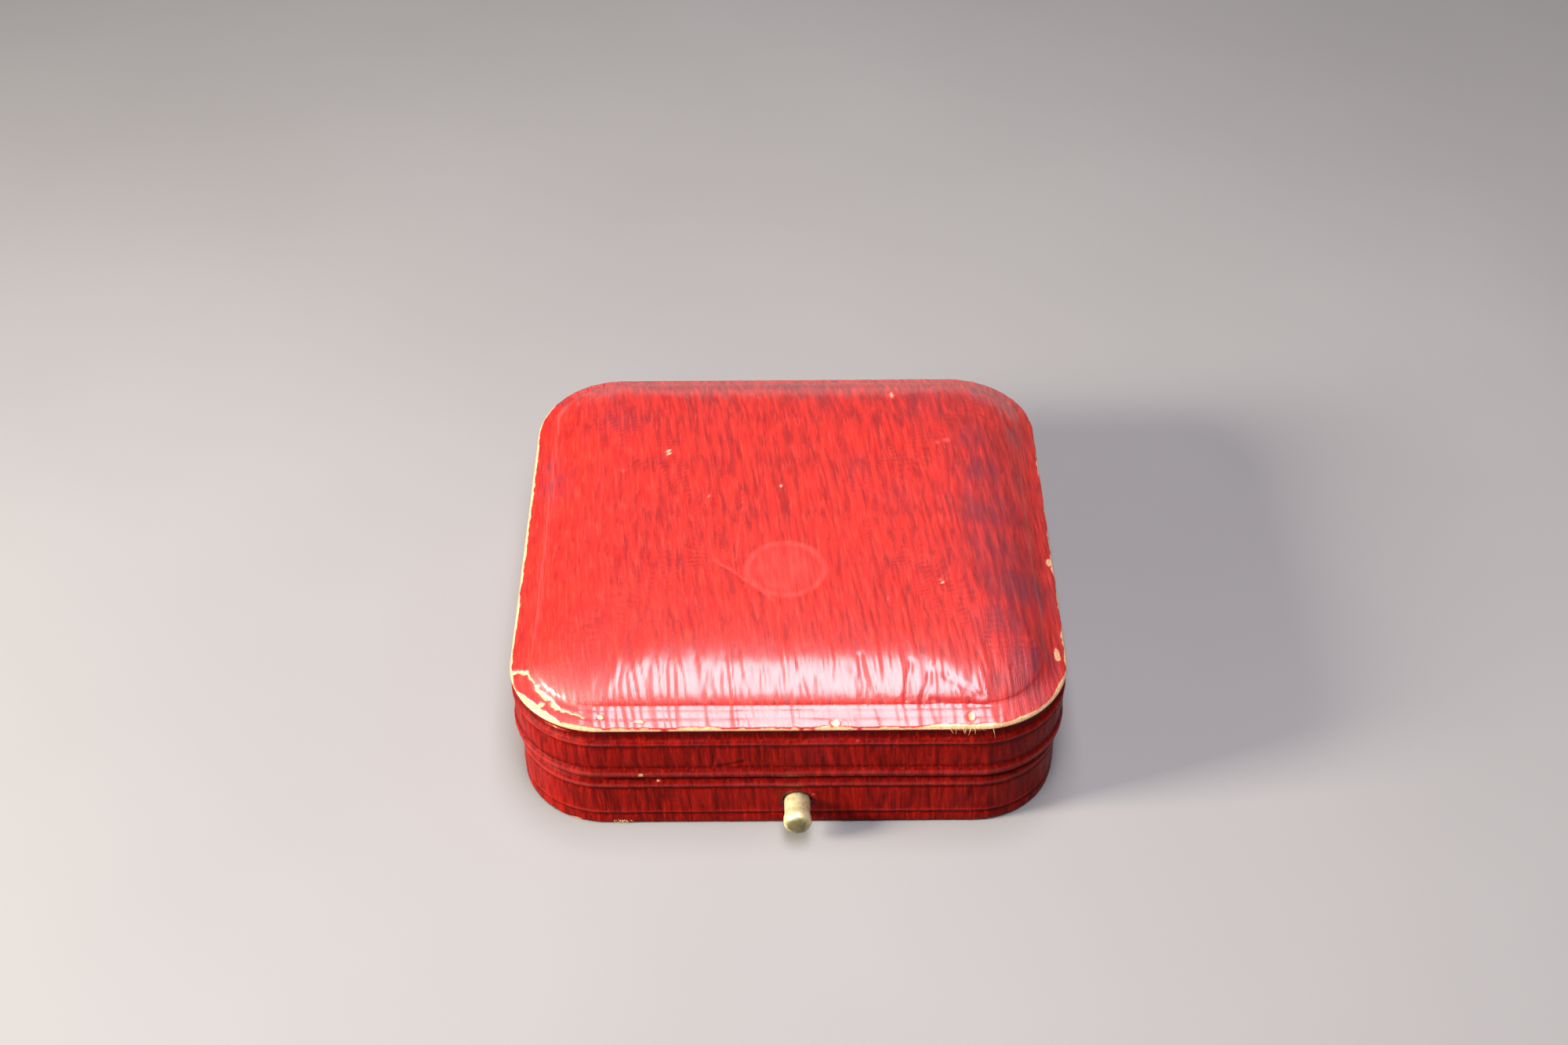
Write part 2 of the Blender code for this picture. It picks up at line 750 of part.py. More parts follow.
def make_hinge(look, base_frame, base_leather, lid_frame, lid_leather):
    """Both leaves, the pin and the nails; returns the pieces that move with the lid."""
    play = 0.1 * MM
    outer = [(-HINGE_HALF, -HINGE_KNUCKLE - play), (HINGE_KNUCKLE + play, HINGE_HALF)]
    base_low = SEAM_Z - 0.65 * MM
    lid_low = SEAM_Z + 0.25 * MM
    base_leaf = hinge_leaf("hinge_base_leaf", base_low, outer, look["brass"])
    centre = [(-HINGE_KNUCKLE, HINGE_KNUCKLE)]
    lid_leaf = hinge_leaf("hinge_lid_leaf", lid_low, centre, look["brass"])
    hinge_pin(look["steel"])
    for obj in (base_frame, base_leather, lid_frame, lid_leather):
        cut(obj, HINGE_ROOM)
    moving = [lid_leaf]
    nail_y = HINGE_Y - 2.15 * MM
    base_head = base_low + HINGE_LEAF + 0.25 * MM
    lid_head = lid_low - 0.25 * MM
    for side, word in ((-1, "left"), (1, "right")):
        place = (side * 10.5 * MM, nail_y, base_head)
        nail(f"hinge_base_nail_{word}", place, (0, 0, -1), 2.4 * MM, look["brass"])
        hole = nail_hole(f"cut_hinge_base_nail_{word}", place, (0, 0, -1), 2.4 * MM)
        cut(base_leaf, [hole])
        cut(base_frame, [hole])
        place = (side * 5.0 * MM, nail_y, lid_head)
        moving.append(nail(f"hinge_lid_nail_{word}", place, (0, 0, 1), 2.4 * MM, look["brass"]))
        hole = nail_hole(f"cut_hinge_lid_nail_{word}", place, (0, 0, 1), 2.4 * MM)
        cut(lid_leaf, [hole])
        cut(lid_frame, [hole])
    return moving


clear_scene()
LOOK = finishes()
HINGE_ROOM = hinge_cutters()
BASE_FRAME, BASE_LEATHER = make_base(LOOK)
make_catch(LOOK, BASE_FRAME)
LID_FRAME, LID_LEATHER, LID_PIECES = make_lid(LOOK)
LID_PIECES += make_hinge(LOOK, BASE_FRAME, BASE_LEATHER, LID_FRAME, LID_LEATHER)
attach(pivot("lid_pivot", (0, HINGE_Y, SEAM_Z)), LID_PIECES)
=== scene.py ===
"""The looks of a small leather-covered jewellery case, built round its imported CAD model.

Lengths are written in millimetres and multiplied by MM where a mesh is made. Every random
draw comes from one seeded generator, so each run gives the same result.
"""

import math
from itertools import product

import bpy
import numpy as np
from mathutils import Matrix, Vector


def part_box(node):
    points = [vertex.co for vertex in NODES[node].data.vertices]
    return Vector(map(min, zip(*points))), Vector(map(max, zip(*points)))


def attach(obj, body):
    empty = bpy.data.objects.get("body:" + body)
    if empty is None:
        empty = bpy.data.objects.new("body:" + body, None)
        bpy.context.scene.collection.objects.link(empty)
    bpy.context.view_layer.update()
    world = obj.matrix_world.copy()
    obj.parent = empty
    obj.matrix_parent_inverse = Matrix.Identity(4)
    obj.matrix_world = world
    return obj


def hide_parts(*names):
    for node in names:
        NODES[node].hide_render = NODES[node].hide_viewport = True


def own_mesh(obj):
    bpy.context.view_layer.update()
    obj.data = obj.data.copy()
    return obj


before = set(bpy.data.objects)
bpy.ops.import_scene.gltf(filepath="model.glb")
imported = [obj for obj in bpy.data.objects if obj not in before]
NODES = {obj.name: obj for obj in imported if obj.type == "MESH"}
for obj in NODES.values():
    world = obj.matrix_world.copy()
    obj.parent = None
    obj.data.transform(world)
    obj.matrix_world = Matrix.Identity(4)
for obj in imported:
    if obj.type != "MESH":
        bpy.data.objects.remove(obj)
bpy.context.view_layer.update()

MM = 0.001


def box_mm(node):
    """Lowest and highest corner of a CAD node, in millimetres."""
    low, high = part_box(node)
    return np.array(low) / MM, np.array(high) / MM


LID_LOW, LID_HIGH = box_mm("lid_side_leather")
TOP_LOW, TOP_HIGH = box_mm("lid_top_leather")
BASE_LOW, BASE_HIGH = box_mm("base_side_leather")
LID_HALF = (LID_HIGH[0], -LID_LOW[1])
BASE_HALF = (BASE_HIGH[0], -BASE_LOW[1])
LID_RADIUS = 11.8
BASE_RADIUS = 11.3
BORDER = 2.9

# The catch and the hinge, as the CAD has them.
BUTTON_LOW, BUTTON_HIGH = box_mm("push_button")
BUTTON_X = (BUTTON_LOW[0] + BUTTON_HIGH[0]) / 2
BUTTON_Z = (BUTTON_LOW[2] + BUTTON_HIGH[2]) / 2
HOLE_RADIUS = 1.9
PIN_LOW, PIN_HIGH = box_mm("hinge_pin")
HINGE_Y = (PIN_LOW[1] + PIN_HIGH[1]) / 2
HINGE_Z = (PIN_LOW[2] + PIN_HIGH[2]) / 2

# What is cut out of the new pieces. For the hinge: half the length, the radius round the
# pin, and (inward, outward, half height) round the leaves.
HINGE_ROOM_HALF = 15.3
PIN_ROOM = 1.3
LEAF_ROOM = (3.3, 1.0, 0.8)

# For the catch: (behind the wall's front, half width, depth, lowest, highest).
CHAMBER = (3.65, 7.8, 5.85, 1.8, 7.1)
TONGUE_SLOT = (3.65, 2.6, 2.25, 6.6, 12.6)
KEEPER_ROOM = (3.0, 4.15, 1.3, 8.2, 14.4)


# ---------------------------------------------------------------- noise and numbers

RNG = np.random.default_rng(11)
PERM = RNG.permutation(256)
GRADIENTS = RNG.normal(size=(256, 3))
GRADIENTS /= np.linalg.norm(GRADIENTS, axis=1, keepdims=True)


def noise(x, y, z):
    """Smooth gradient noise in three dimensions, about -0.7 to 0.7, one lump per unit."""
    point = np.stack(np.broadcast_arrays(x, y, z), axis=-1).astype(float)
    cell = np.floor(point).astype(int)
    inside = point - cell
    fade = inside**3 * (inside * (inside * 6 - 15) + 10)
    total = np.zeros(point.shape[:-1])
    for corner in product((0, 1), repeat=3):
        offset = np.array(corner)
        index = (cell + offset) & 255
        pick = PERM[(PERM[(PERM[index[..., 0]] + index[..., 1]) & 255] + index[..., 2]) & 255]
        along = (GRADIENTS[pick] * (inside - offset)).sum(axis=-1)
        total += along * np.where(offset, fade, 1 - fade).prod(axis=-1)
    return total


def smooth(low, high, value):
    """0 below low, 1 above high, and a smooth step between them."""
    t = np.clip((value - low) / (high - low), 0, 1)
    return t * t * (3 - 2 * t)


def bump_at(value, centre, width):
    """A bell of height 1 round centre."""
    return np.exp(-(((value - centre) / width) ** 2))


def to_segment(x, y, start, end):
    """Distance from each point to a segment."""
    direction = np.array(end, float) - start
    length = np.hypot(*direction)
    direction /= length
    along = np.clip((x - start[0]) * direction[0] + (y - start[1]) * direction[1], 0, length)
    return np.hypot(x - start[0] - along * direction[0], y - start[1] - along * direction[1])


# ---------------------------------------------------------------- meshes


def new_object(name, points, faces, body, smooth_angle=40):
    """A mesh from points in millimetres, riding on a body."""
    mesh = bpy.data.meshes.new(name)
    mesh.from_pydata((np.asarray(points) * MM).tolist(), [], faces)
    mesh.update()
    mesh.shade_smooth()
    mesh.set_sharp_from_angle(angle=math.radians(smooth_angle))
    obj = bpy.data.objects.new(name, mesh)
    bpy.context.scene.collection.objects.link(obj)
    if body:
        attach(obj, body)
    return obj


def points_of(obj):
    points = np.zeros(len(obj.data.vertices) * 3, np.float32)
    obj.data.vertices.foreach_get("co", points)
    return points.reshape(-1, 3).astype(float) / MM


def set_attribute(obj, name, values):
    """Stores one number, or one vector, per point."""
    values = np.asarray(values, np.float32)
    kind, key = ("FLOAT", "value") if values.ndim == 1 else ("FLOAT_VECTOR", "vector")
    attribute = obj.data.attributes.new(name, kind, "POINT")
    attribute.data.foreach_set(key, values.ravel())


def outline(half, radius, step):
    """Points and outward normals round a rounded rectangle, anticlockwise from above."""
    quarter = radius * math.pi / 2
    straight_x, straight_y = 2 * (half[0] - radius), 2 * (half[1] - radius)
    places, normals = [], []
    corner_steps = round(quarter / step)
    sides = ((1, 1, 0, straight_x), (-1, 1, 90, straight_y))
    sides += ((-1, -1, 180, straight_x), (1, -1, 270, straight_y))
    for side_x, side_y, start, straight in sides:
        centre = np.array([side_x * (half[0] - radius), side_y * (half[1] - radius)])
        for k in range(corner_steps + 1):
            angle = math.radians(start + 90 * k / corner_steps)
            normal = np.array([math.cos(angle), math.sin(angle)])
            places.append(centre + radius * normal)
            normals.append(normal)
        forward = np.array([-normals[-1][1], normals[-1][0]])
        straight_steps = round(straight / step)
        last = places[-1]
        for k in range(1, straight_steps):
            places.append(last + forward * straight * k / straight_steps)
            normals.append(normals[-1])
    return np.array(places), np.array(normals)


def path_normals(path):
    """Outward normals of a closed (inset, height) path that runs up its outer side."""
    before, after = np.roll(path, 1, axis=0), np.roll(path, -1, axis=0)
    outward, upward = before[:, 0] - after[:, 0], after[:, 1] - before[:, 1]
    normals = np.stack([upward, -outward], axis=1)
    return normals / np.linalg.norm(normals, axis=1, keepdims=True)


def wall(name, half, radius, path, step, body, relief=None):
    """A closed band that follows a (inset, height, gain) path round a rounded rectangle.

    relief(x, y, z, normal) gives a height in millimetres, and gain says how much of it
    each row of the path takes.
    """
    places, normals = outline(half, radius, step)
    path = np.array(path, float)
    tilt = path_normals(path[:, :2])
    count, rows = len(places), len(path)
    flat = places[None] - path[:, 0, None, None] * normals[None]
    points = np.dstack([flat, np.broadcast_to(path[:, 1, None], (rows, count))])
    if relief is not None:
        height = relief(points[..., 0], points[..., 1], points[..., 2], normals[None])
        upward = np.broadcast_to(tilt[:, 1, None], (rows, count))
        shift = np.dstack([tilt[:, 0, None, None] * normals[None], upward])
        points = points + shift * (height * path[:, 2, None])[..., None]
    row, column = np.meshgrid(np.arange(rows), np.arange(count), indexing="ij")
    above, beside = (row + 1) % rows, (column + 1) % count
    corners = (row * count + column, row * count + beside, above * count + beside)
    faces = np.stack([*corners, above * count + column], axis=-1).reshape(-1, 4)
    return new_object(name, points.reshape(-1, 3), faces.tolist(), body)


def spread_over(half, radius, across, along, share):
    """Points on concentric rounded rectangles for a square grid.

    across and along run from -1 to 1 on the ring's own square, half and radius are the
    ring's, and share is 0 at the centre. Returns x, y and the outward direction.
    """
    on_side = np.abs(across) >= np.abs(along)
    long_half = np.where(on_side, half[0], half[1])
    short_half = np.where(on_side, half[1], half[0])
    main = np.where(on_side, np.sign(across), np.sign(along))
    turn = np.where(on_side, along, across)
    straight = short_half - radius
    run = np.abs(turn) * (straight + radius * math.pi / 4)
    angle = np.clip((run - straight) / np.maximum(radius, 1e-9), 0, math.pi / 4)
    out = long_half - radius * (1 - np.cos(angle))
    side = np.minimum(run, straight) + radius * np.sin(angle)
    x = np.where(on_side, out * main, side * np.sign(turn))
    y = np.where(on_side, side * np.sign(turn), out * main)
    normal_x = np.where(on_side, np.cos(angle) * main, np.sin(angle) * np.sign(turn))
    normal_y = np.where(on_side, np.sin(angle) * np.sign(turn), np.cos(angle) * main)
    return x * (share > 0), y * (share > 0), normal_x, normal_y


def disc(rings):
    """A square grid of points laid over concentric rounded rectangles.

    rings are (half_x, half_y, radius) from the outermost to the centre. Returns x, y, the
    ring number of each point, the outward direction, the faces and the outermost loop.
    """
    rings = np.array(rings, float)
    n = len(rings) - 1
    i, j = np.meshgrid(np.arange(-n, n + 1), np.arange(-n, n + 1), indexing="ij")
    level = np.maximum(np.abs(i), np.abs(j))
    ring = n - level
    safe = np.maximum(level, 1)
    half = (rings[ring, 0], rings[ring, 1])
    x, y, nx, ny = spread_over(half, rings[ring, 2], i / safe, j / safe, level)
    side = 2 * n + 1
    index = np.arange(side * side).reshape(side, side)
    quads = np.stack([index[:-1, :-1], index[1:, :-1], index[1:, 1:], index[:-1, 1:]], axis=-1)
    loop = np.concatenate([index[:-1, 0], index[-1, :-1], index[:0:-1, -1], index[0, :0:-1]])
    flat = [v.reshape(-1) for v in (x, y, ring, nx, ny)]
    return (*flat, quads.reshape(-1, 4), loop)


def close_disc(points, faces, loop, rows):
    """Adds rings of points below the outermost loop, and a flat face under the last one."""
    points = [points]
    faces = faces.tolist()
    above, total = loop, len(points[0])
    for row in rows:
        below = total + np.arange(len(loop))
        points.append(row)
        total += len(loop)
        quads = np.stack([above, below, np.roll(below, -1), np.roll(above, -1)], axis=-1)
        faces += quads.tolist()
        above = below
    faces.append(above[::-1].tolist())
    return np.concatenate(points), faces


def tube_faces(rings, sides, start=0):
    """The faces of a closed tube whose rings of points follow each other from start."""
    faces = []
    for low in range(start, start + (rings - 1) * sides, sides):
        for side in range(sides):
            after = (side + 1) % sides
            faces.append((low + side, low + after, low + sides + after, low + sides + side))
    first = range(start, start + sides)
    last = range(start + (rings - 1) * sides, start + rings * sides)
    return [*faces, tuple(reversed(first)), tuple(last)]


def turned_mesh(name, profile, place, axis, sides, body, smooth_angle=40):
    """Turns (distance, radius) points about an axis through place; both ends are closed."""
    profile = np.array(profile, float)
    turn = np.arange(sides) * 2 * math.pi / sides
    across = Vector(axis).orthogonal().normalized()
    beside = Vector(axis).cross(across)
    circle = np.outer(np.cos(turn), across) + np.outer(np.sin(turn), beside)
    points = profile[:, 0, None, None] * np.array(axis, float) + profile[:, 1, None, None] * circle
    points = points.reshape(-1, 3) + np.array(place)
    return new_object(name, points, tube_faces(len(profile), sides), body, smooth_angle)


def box_mesh(name, low, high):
    corners = [
        (x, y, z)
        for z in (low[2], high[2])
        for x, y in ((low[0], low[1]), (high[0], low[1]), (high[0], high[1]), (low[0], high[1]))
    ]
    sides = [(k, (k + 1) % 4, (k + 1) % 4 + 4, k + 4) for k in range(4)]
    return new_object(name, corners, [(3, 2, 1, 0), (4, 5, 6, 7), *sides], None)


def cut_away(obj, cutters):
    """Takes the cutters out of a piece for good."""
    for cutter in cutters:
        modifier = obj.modifiers.new("cut", "BOOLEAN")
        modifier.operation = "DIFFERENCE"
        modifier.solver = "EXACT"
        modifier.object = cutter
    bpy.context.view_layer.update()
    graph = bpy.context.evaluated_depsgraph_get()
    mesh = bpy.data.meshes.new_from_object(obj.evaluated_get(graph), depsgraph=graph)
    obj.modifiers.clear()
    old = obj.data
    obj.data = mesh
    bpy.data.meshes.remove(old)
    mesh.name = obj.name
    mesh.shade_smooth()
    mesh.set_sharp_from_angle(angle=math.radians(40))


def remove(objects):
    for obj in objects:
        bpy.data.objects.remove(obj, do_unlink=True)


def hinge_cutters():
    ends = [(-HINGE_ROOM_HALF, PIN_ROOM), (HINGE_ROOM_HALF, PIN_ROOM)]
    barrel = turned_mesh("cut_barrel", ends, (0, HINGE_Y, HINGE_Z), (1, 0, 0), 48, None)
    inward, outward, tall = LEAF_ROOM
    low = (-HINGE_ROOM_HALF, HINGE_Y - inward, HINGE_Z - tall)
    high = (HINGE_ROOM_HALF, HINGE_Y + outward, HINGE_Z + tall)
    return [barrel, box_mesh("cut_leaves", low, high)]


def catch_cutter(name, wall_front, room):
    """A box in line with the button, behind a wall."""
    behind, half_width, depth, lowest, highest = room
    front = wall_front + behind
    low = (BUTTON_X - half_width, front, lowest)
    return box_mesh(name, low, (BUTTON_X + half_width, front + depth, highest))


def base_catch_cutters():
    """The chamber under the bed, and the slot for the bolt's tongue."""
    rooms = (("cut_chamber", CHAMBER), ("cut_slot", TONGUE_SLOT))
    return [catch_cutter(name, BASE_LOW[1], room) for name, room in rooms]


# ---------------------------------------------------------------- node helpers


def material(name):
    made = bpy.data.materials.new(name)
    made.use_nodes = True
    return made, made.node_tree, made.node_tree.nodes["Principled BSDF"]


def node(tree, kind, inputs=None, **settings):
    """Adds a node; an input is a value or another node's output."""
    made = tree.nodes.new("ShaderNode" + kind)
    for key, value in settings.items():
        setattr(made, key, value)
    for key, value in (inputs or {}).items():
        if isinstance(value, bpy.types.NodeSocket):
            tree.links.new(value, made.inputs[key])
        else:
            made.inputs[key].default_value = value
    return made


def connect(tree, shader, **inputs):
    """Links or sets the shader's sockets; an underscore in a name stands for a space."""
    for key, value in inputs.items():
        socket = shader.inputs[key.replace("_", " ")]
        if isinstance(value, bpy.types.NodeSocket):
            tree.links.new(value, socket)
        else:
            socket.default_value = value


def attribute(tree, name, output="Fac"):
    return node(tree, "Attribute", attribute_name=name).outputs[output]


def object_mm(tree, scale=(1, 1, 1)):
    """The object's own coordinates in millimetres, stretched by scale."""
    coordinates = node(tree, "TexCoord").outputs["Object"]
    return stretched(tree, coordinates, tuple(s / MM for s in scale))


def stretched(tree, vector, scale):
    return node(tree, "Mapping", {"Vector": vector, "Scale": scale}).outputs["Vector"]


def cloud(tree, vector, scale, detail=3.0, roughness=0.5, distortion=0.0):
    inputs = {"Vector": vector, "Scale": scale, "Detail": detail}
    inputs.update(Roughness=roughness, Distortion=distortion)
    return node(tree, "TexNoise", inputs).outputs["Fac"]


def ramp(tree, factor, stops):
    """A colour ramp; a stop is (position, grey) or (position, (r, g, b))."""
    made = node(tree, "ValToRGB", {"Fac": factor})
    elements = made.color_ramp.elements
    while len(elements) < len(stops):
        elements.new(0.5)
    for element, (position, colour) in zip(elements, stops):
        element.position = position
        colour = (colour,) * 3 if isinstance(colour, (int, float)) else colour
        element.color = (*colour, 1)
    return made.outputs["Color"]


def calc(tree, operation, first, second=0.5, clamp=False):
    made = node(tree, "Math", {0: first, 1: second}, operation=operation, use_clamp=clamp)
    return made.outputs["Value"]


def blend(tree, factor, first, second, mode="MIX"):
    made = node(tree, "Mix", data_type="RGBA", blend_type=mode)
    for key, value in ((0, factor), (6, first), (7, second)):
        if isinstance(value, bpy.types.NodeSocket):
            tree.links.new(value, made.inputs[key])
        elif key == 0:
            made.inputs[key].default_value = value
        else:
            made.inputs[key].default_value = (*value, 1)
    return made.outputs[2]


def bump(tree, height, strength, distance_mm, normal=None):
    inputs = {"Height": height, "Strength": strength, "Distance": distance_mm * MM}
    if normal is not None:
        inputs["Normal"] = normal
    return node(tree, "Bump", inputs).outputs["Normal"]


# ---------------------------------------------------------------- materials


ALONG_GRAIN = (1, 1, 0.11)
STAIN_COLOUR = (0.085, 0.010, 0.022)
TORN_COLOURS = ((0.34, 0.15, 0.05), (0.52, 0.36, 0.19))


def lighter(colour, share, lift):
    return tuple(min(share * v + lift, 1.0) for v in colour)


def dyed_leather(tree, grain, streak, colours):
    """The dyed skin: streaks, rubbed patches, painted shade in the valleys, pale painted highlight
    streaks and stains.
    """
    deep, bright, valley_shade_colour, pale = colours
    fine = cloud(tree, stretched(tree, grain, ALONG_GRAIN), 2.6, 3, 0.6)
    patch = cloud(tree, grain, 0.09, 3, 0.55)
    red = ramp(tree, streak, [(0.36, deep), (0.60, bright)])
    rubbed = lighter(bright, 1.12, 0.004)
    red = blend(tree, ramp(tree, patch, [(0.35, 0.0), (0.7, 0.4)]), red, rubbed)
    # Painted shade: the grain's valleys, and the grooves whose relief is lowered, are darkened towards
    # the valley shade colour.
    shade_in_valleys = ramp(tree, attribute(tree, "relief"), [(0.05, 0.8), (0.5, 0.0)])
    red = blend(tree, shade_in_valleys, red, valley_shade_colour)
    # Painted highlight: pale streaks over fine noise stand in for glints off the grain.
    red = blend(tree, ramp(tree, fine, [(0.52, 0.0), (0.72, 0.55)]), red, pale)
    uneven = ramp(tree, streak, [(0.3, 1.0), (0.65, 0.6)])
    return blend(tree, calc(tree, "MULTIPLY", attribute(tree, "stain"), uneven), red, STAIN_COLOUR)


def torn_where(tree, grain, wear):
    """1 where the dyed skin is gone and its tan fibres show."""
    broken = calc(tree, "SUBTRACT", cloud(tree, grain, 3.0, 3, 0.6), 0.5)
    chip = calc(tree, "ADD", wear, calc(tree, "MULTIPLY", broken, 0.5))
    return ramp(tree, chip, [(0.54, 0.0), (0.64, 1.0)])


def leather_material(name, colours, gloss):
    """Red straight-grain goatskin; reads grain, relief, stain and wear.

    colours are (deep, bright, valley, pale), valley being painted shade and pale painted highlight,
    and gloss is (lowest roughness, highest roughness, coat, coat roughness, specular level).
    """
    made, tree, shader = material(name)
    grain = attribute(tree, "grain", "Vector")
    wear = attribute(tree, "wear")
    streak = cloud(tree, stretched(tree, grain, ALONG_GRAIN), 1.3, 4, 0.6)
    torn = torn_where(tree, grain, wear)
    tan = ramp(tree, cloud(tree, grain, 2.0, 4, 0.7), [*zip((0.3, 0.7), TORN_COLOURS)])
    # Worn edges, and the painted highlights on the walls' beads, take a lighter red.
    edge = ramp(tree, wear, [(0.08, 0.0), (0.45, 0.75)])
    red = dyed_leather(tree, grain, streak, colours)
    colour = blend(tree, edge, red, lighter(colours[1], 1.35, 0.03))

    smoothest, roughest, coat, coat_roughness, specular = gloss
    shine = ramp(tree, cloud(tree, grain, 0.5, 4, 0.6), [(0.3, smoothest), (0.7, roughest)])
    pores = cloud(tree, stretched(tree, grain, (1, 1, 0.45)), 7, 2, 0.7)
    height = calc(tree, "ADD", calc(tree, "MULTIPLY", streak, 0.7), calc(tree, "MULTIPLY", pores, 0.3))
    connect(
        tree,
        shader,
        Base_Color=blend(tree, torn, colour, tan),
        Roughness=blend(tree, torn, shine, (0.8, 0.8, 0.8)),
        Normal=bump(tree, height, 0.75, 0.28),
        Coat_Weight=coat,
        Coat_Roughness=coat_roughness,
        Specular_IOR_Level=specular,
    )
    return made


def knob_material():
    """Pale aged metal, rubbed bright with darker spots, and painted shade on its tip."""
    made, tree, shader = material("aged_button_metal")
    place = object_mm(tree)
    mottle = cloud(tree, place, 0.9, 5, 0.65)
    spots = cloud(tree, place, 2.6, 3, 0.6)
    tones = [(0.3, (0.36, 0.28, 0.11)), (0.45, (0.56, 0.50, 0.26)), (0.7, (0.72, 0.67, 0.42))]
    colour = ramp(tree, mottle, tones)
    colour = blend(tree, ramp(tree, spots, [(0.58, 0.0), (0.68, 0.7)]), colour, (0.30, 0.22, 0.10))
    # Painted shade: the colour darkens towards the button's tip.
    along = node(tree, "SeparateXYZ", {"Vector": place}).outputs["Y"]
    end = calc(tree, "ADD", along, calc(tree, "MULTIPLY", mottle, 0.9))
    end = calc(tree, "ADD", end, -BUTTON_LOW[1])
    colour = blend(tree, ramp(tree, end, [(0.6, 0.9), (1.1, 0.0)]), colour, (0.11, 0.09, 0.035))
    rough = ramp(tree, mottle, [(0.3, 0.52), (0.7, 0.3)])
    lines = cloud(tree, stretched(tree, place, (4, 0.3, 4)), 2.0, 3, 0.6)
    normal = bump(tree, lines, 0.35, 0.03, bump(tree, mottle, 0.4, 0.08))
    connect(tree, shader, Base_Color=colour, Roughness=rough, Metallic=0.6, Normal=normal)
    return made


def metal_material(name, bright, dull, roughness):
    """Lightly tarnished metal with fine brushing."""
    made, tree, shader = material(name)
    place = object_mm(tree)
    tarnish = cloud(tree, place, 0.6, 5, 0.6)
    brushed = cloud(tree, stretched(tree, place, (0.4, 6, 6)), 2.0, 3, 0.6)
    colour = ramp(tree, tarnish, [(0.35, dull), (0.62, bright)])
    rough = ramp(tree, tarnish, [(0.3, roughness + 0.2), (0.7, roughness)])
    normal = bump(tree, brushed, 0.3, 0.02)
    connect(tree, shader, Base_Color=colour, Roughness=rough, Metallic=1.0, Normal=normal)
    return made


EVEN = (1, 1, 1)


def weave(tree, place):
    """A plain weave, from two waves that cross."""
    threads = []
    for scale in ((9, 9, 0.2), (0.2, 0.2, 9)):
        inputs = {"Vector": stretched(tree, place, scale), "Scale": 1.0, "Distortion": 1.2}
        threads.append(node(tree, "TexWave", inputs).outputs["Fac"])
    return calc(tree, "MAXIMUM", *threads)


def clouds(stretch, *settings):
    """A pattern for matte_material: noise that is stretched along the object's axes."""
    return lambda tree, place: cloud(tree, stretched(tree, place, stretch), *settings)


def matte_material(name, broad, tones, fine, gaps, dark, relief, roughness, **surface):
    """Broad tones under a fine pattern, which darkens its gaps and gives the relief.

    broad and fine are patterns, tones and gaps the stops of their ramps, and relief is
    (strength, depth in millimetres). roughness is a number, or stops over the fine pattern.
    """
    made, tree, shader = material(name)
    place = object_mm(tree)
    pattern = fine(tree, place)
    colour = ramp(tree, broad(tree, place), tones)
    colour = blend(tree, ramp(tree, pattern, gaps), colour, dark)
    if isinstance(roughness, list):
        roughness = ramp(tree, pattern, roughness)
    normal = bump(tree, pattern, *relief)
    connect(tree, shader, Base_Color=colour, Roughness=roughness, Normal=normal, **surface)
    return made


def board_material(name, pale, dark, scale):
    """Pasteboard or paper: matte, flecked, slightly uneven."""
    patch, fleck = clouds(EVEN, 0.12, 4, 0.6), clouds(EVEN, scale, 3, 0.7)
    gaps = [(0.35, 0.5), (0.55, 0.0)]
    return matte_material(
        name, patch, [(0.3, dark), (0.7, pale)], fleck, gaps, dark, (0.5, 0.06), 0.88
    )


# The leathers' colours: (deep, bright, valley, pale); valley is painted shade for the grain's valleys and
# grooves, and pale is painted highlight streaks.
TOP_REDS = (
    (0.25, 0.0016, 0.0008), (0.385, 0.0085, 0.0024),
    (0.15, 0.0012, 0.0012), (0.45, 0.0330, 0.0170),
)
# Painted shade: the walls' reds are a darker copy of the top's, for the shade that falls on the walls.
SHADED_WALL_REDS = (
    (0.095, 0.0008, 0.0002), (0.185, 0.0026, 0.0004),
    (0.05, 0.0005, 0.0002), (0.26, 0.0080, 0.0020),
)
TOP_LEATHER = leather_material("red_straight_grain", TOP_REDS, (0.42, 0.54, 0.75, 0.24, 0.45))
# The walls' leather carries the painted-shade reds.
SHADED_WALL_LEATHER = leather_material("red_wall_grain_painted_shade", SHADED_WALL_REDS, (0.34, 0.48, 0.0, 0.25, 0.05))
KNOB = knob_material()
BRASS = metal_material("brass", (0.76, 0.56, 0.26), (0.42, 0.28, 0.10), 0.28)
STEEL = metal_material("spring_steel", (0.56, 0.56, 0.58), (0.32, 0.31, 0.30), 0.25)
VELVET = matte_material(
    "ivory_velvet",
    clouds(EVEN, 0.22, 4, 0.55, 0.6),
    [(0.3, (0.24, 0.18, 0.10)), (0.55, (0.33, 0.26, 0.16)), (0.75, (0.40, 0.33, 0.21))],
    clouds(EVEN, 7.0, 2, 0.7),
    [(0.3, 0.5), (0.6, 0.0)],
    (0.16, 0.115, 0.06),
    (0.8, 0.12),
    0.95,
    Sheen_Weight=0.35,
    Sheen_Roughness=0.4,
    Sheen_Tint=(1.0, 0.94, 0.82, 1),
    Specular_IOR_Level=0.15,
)
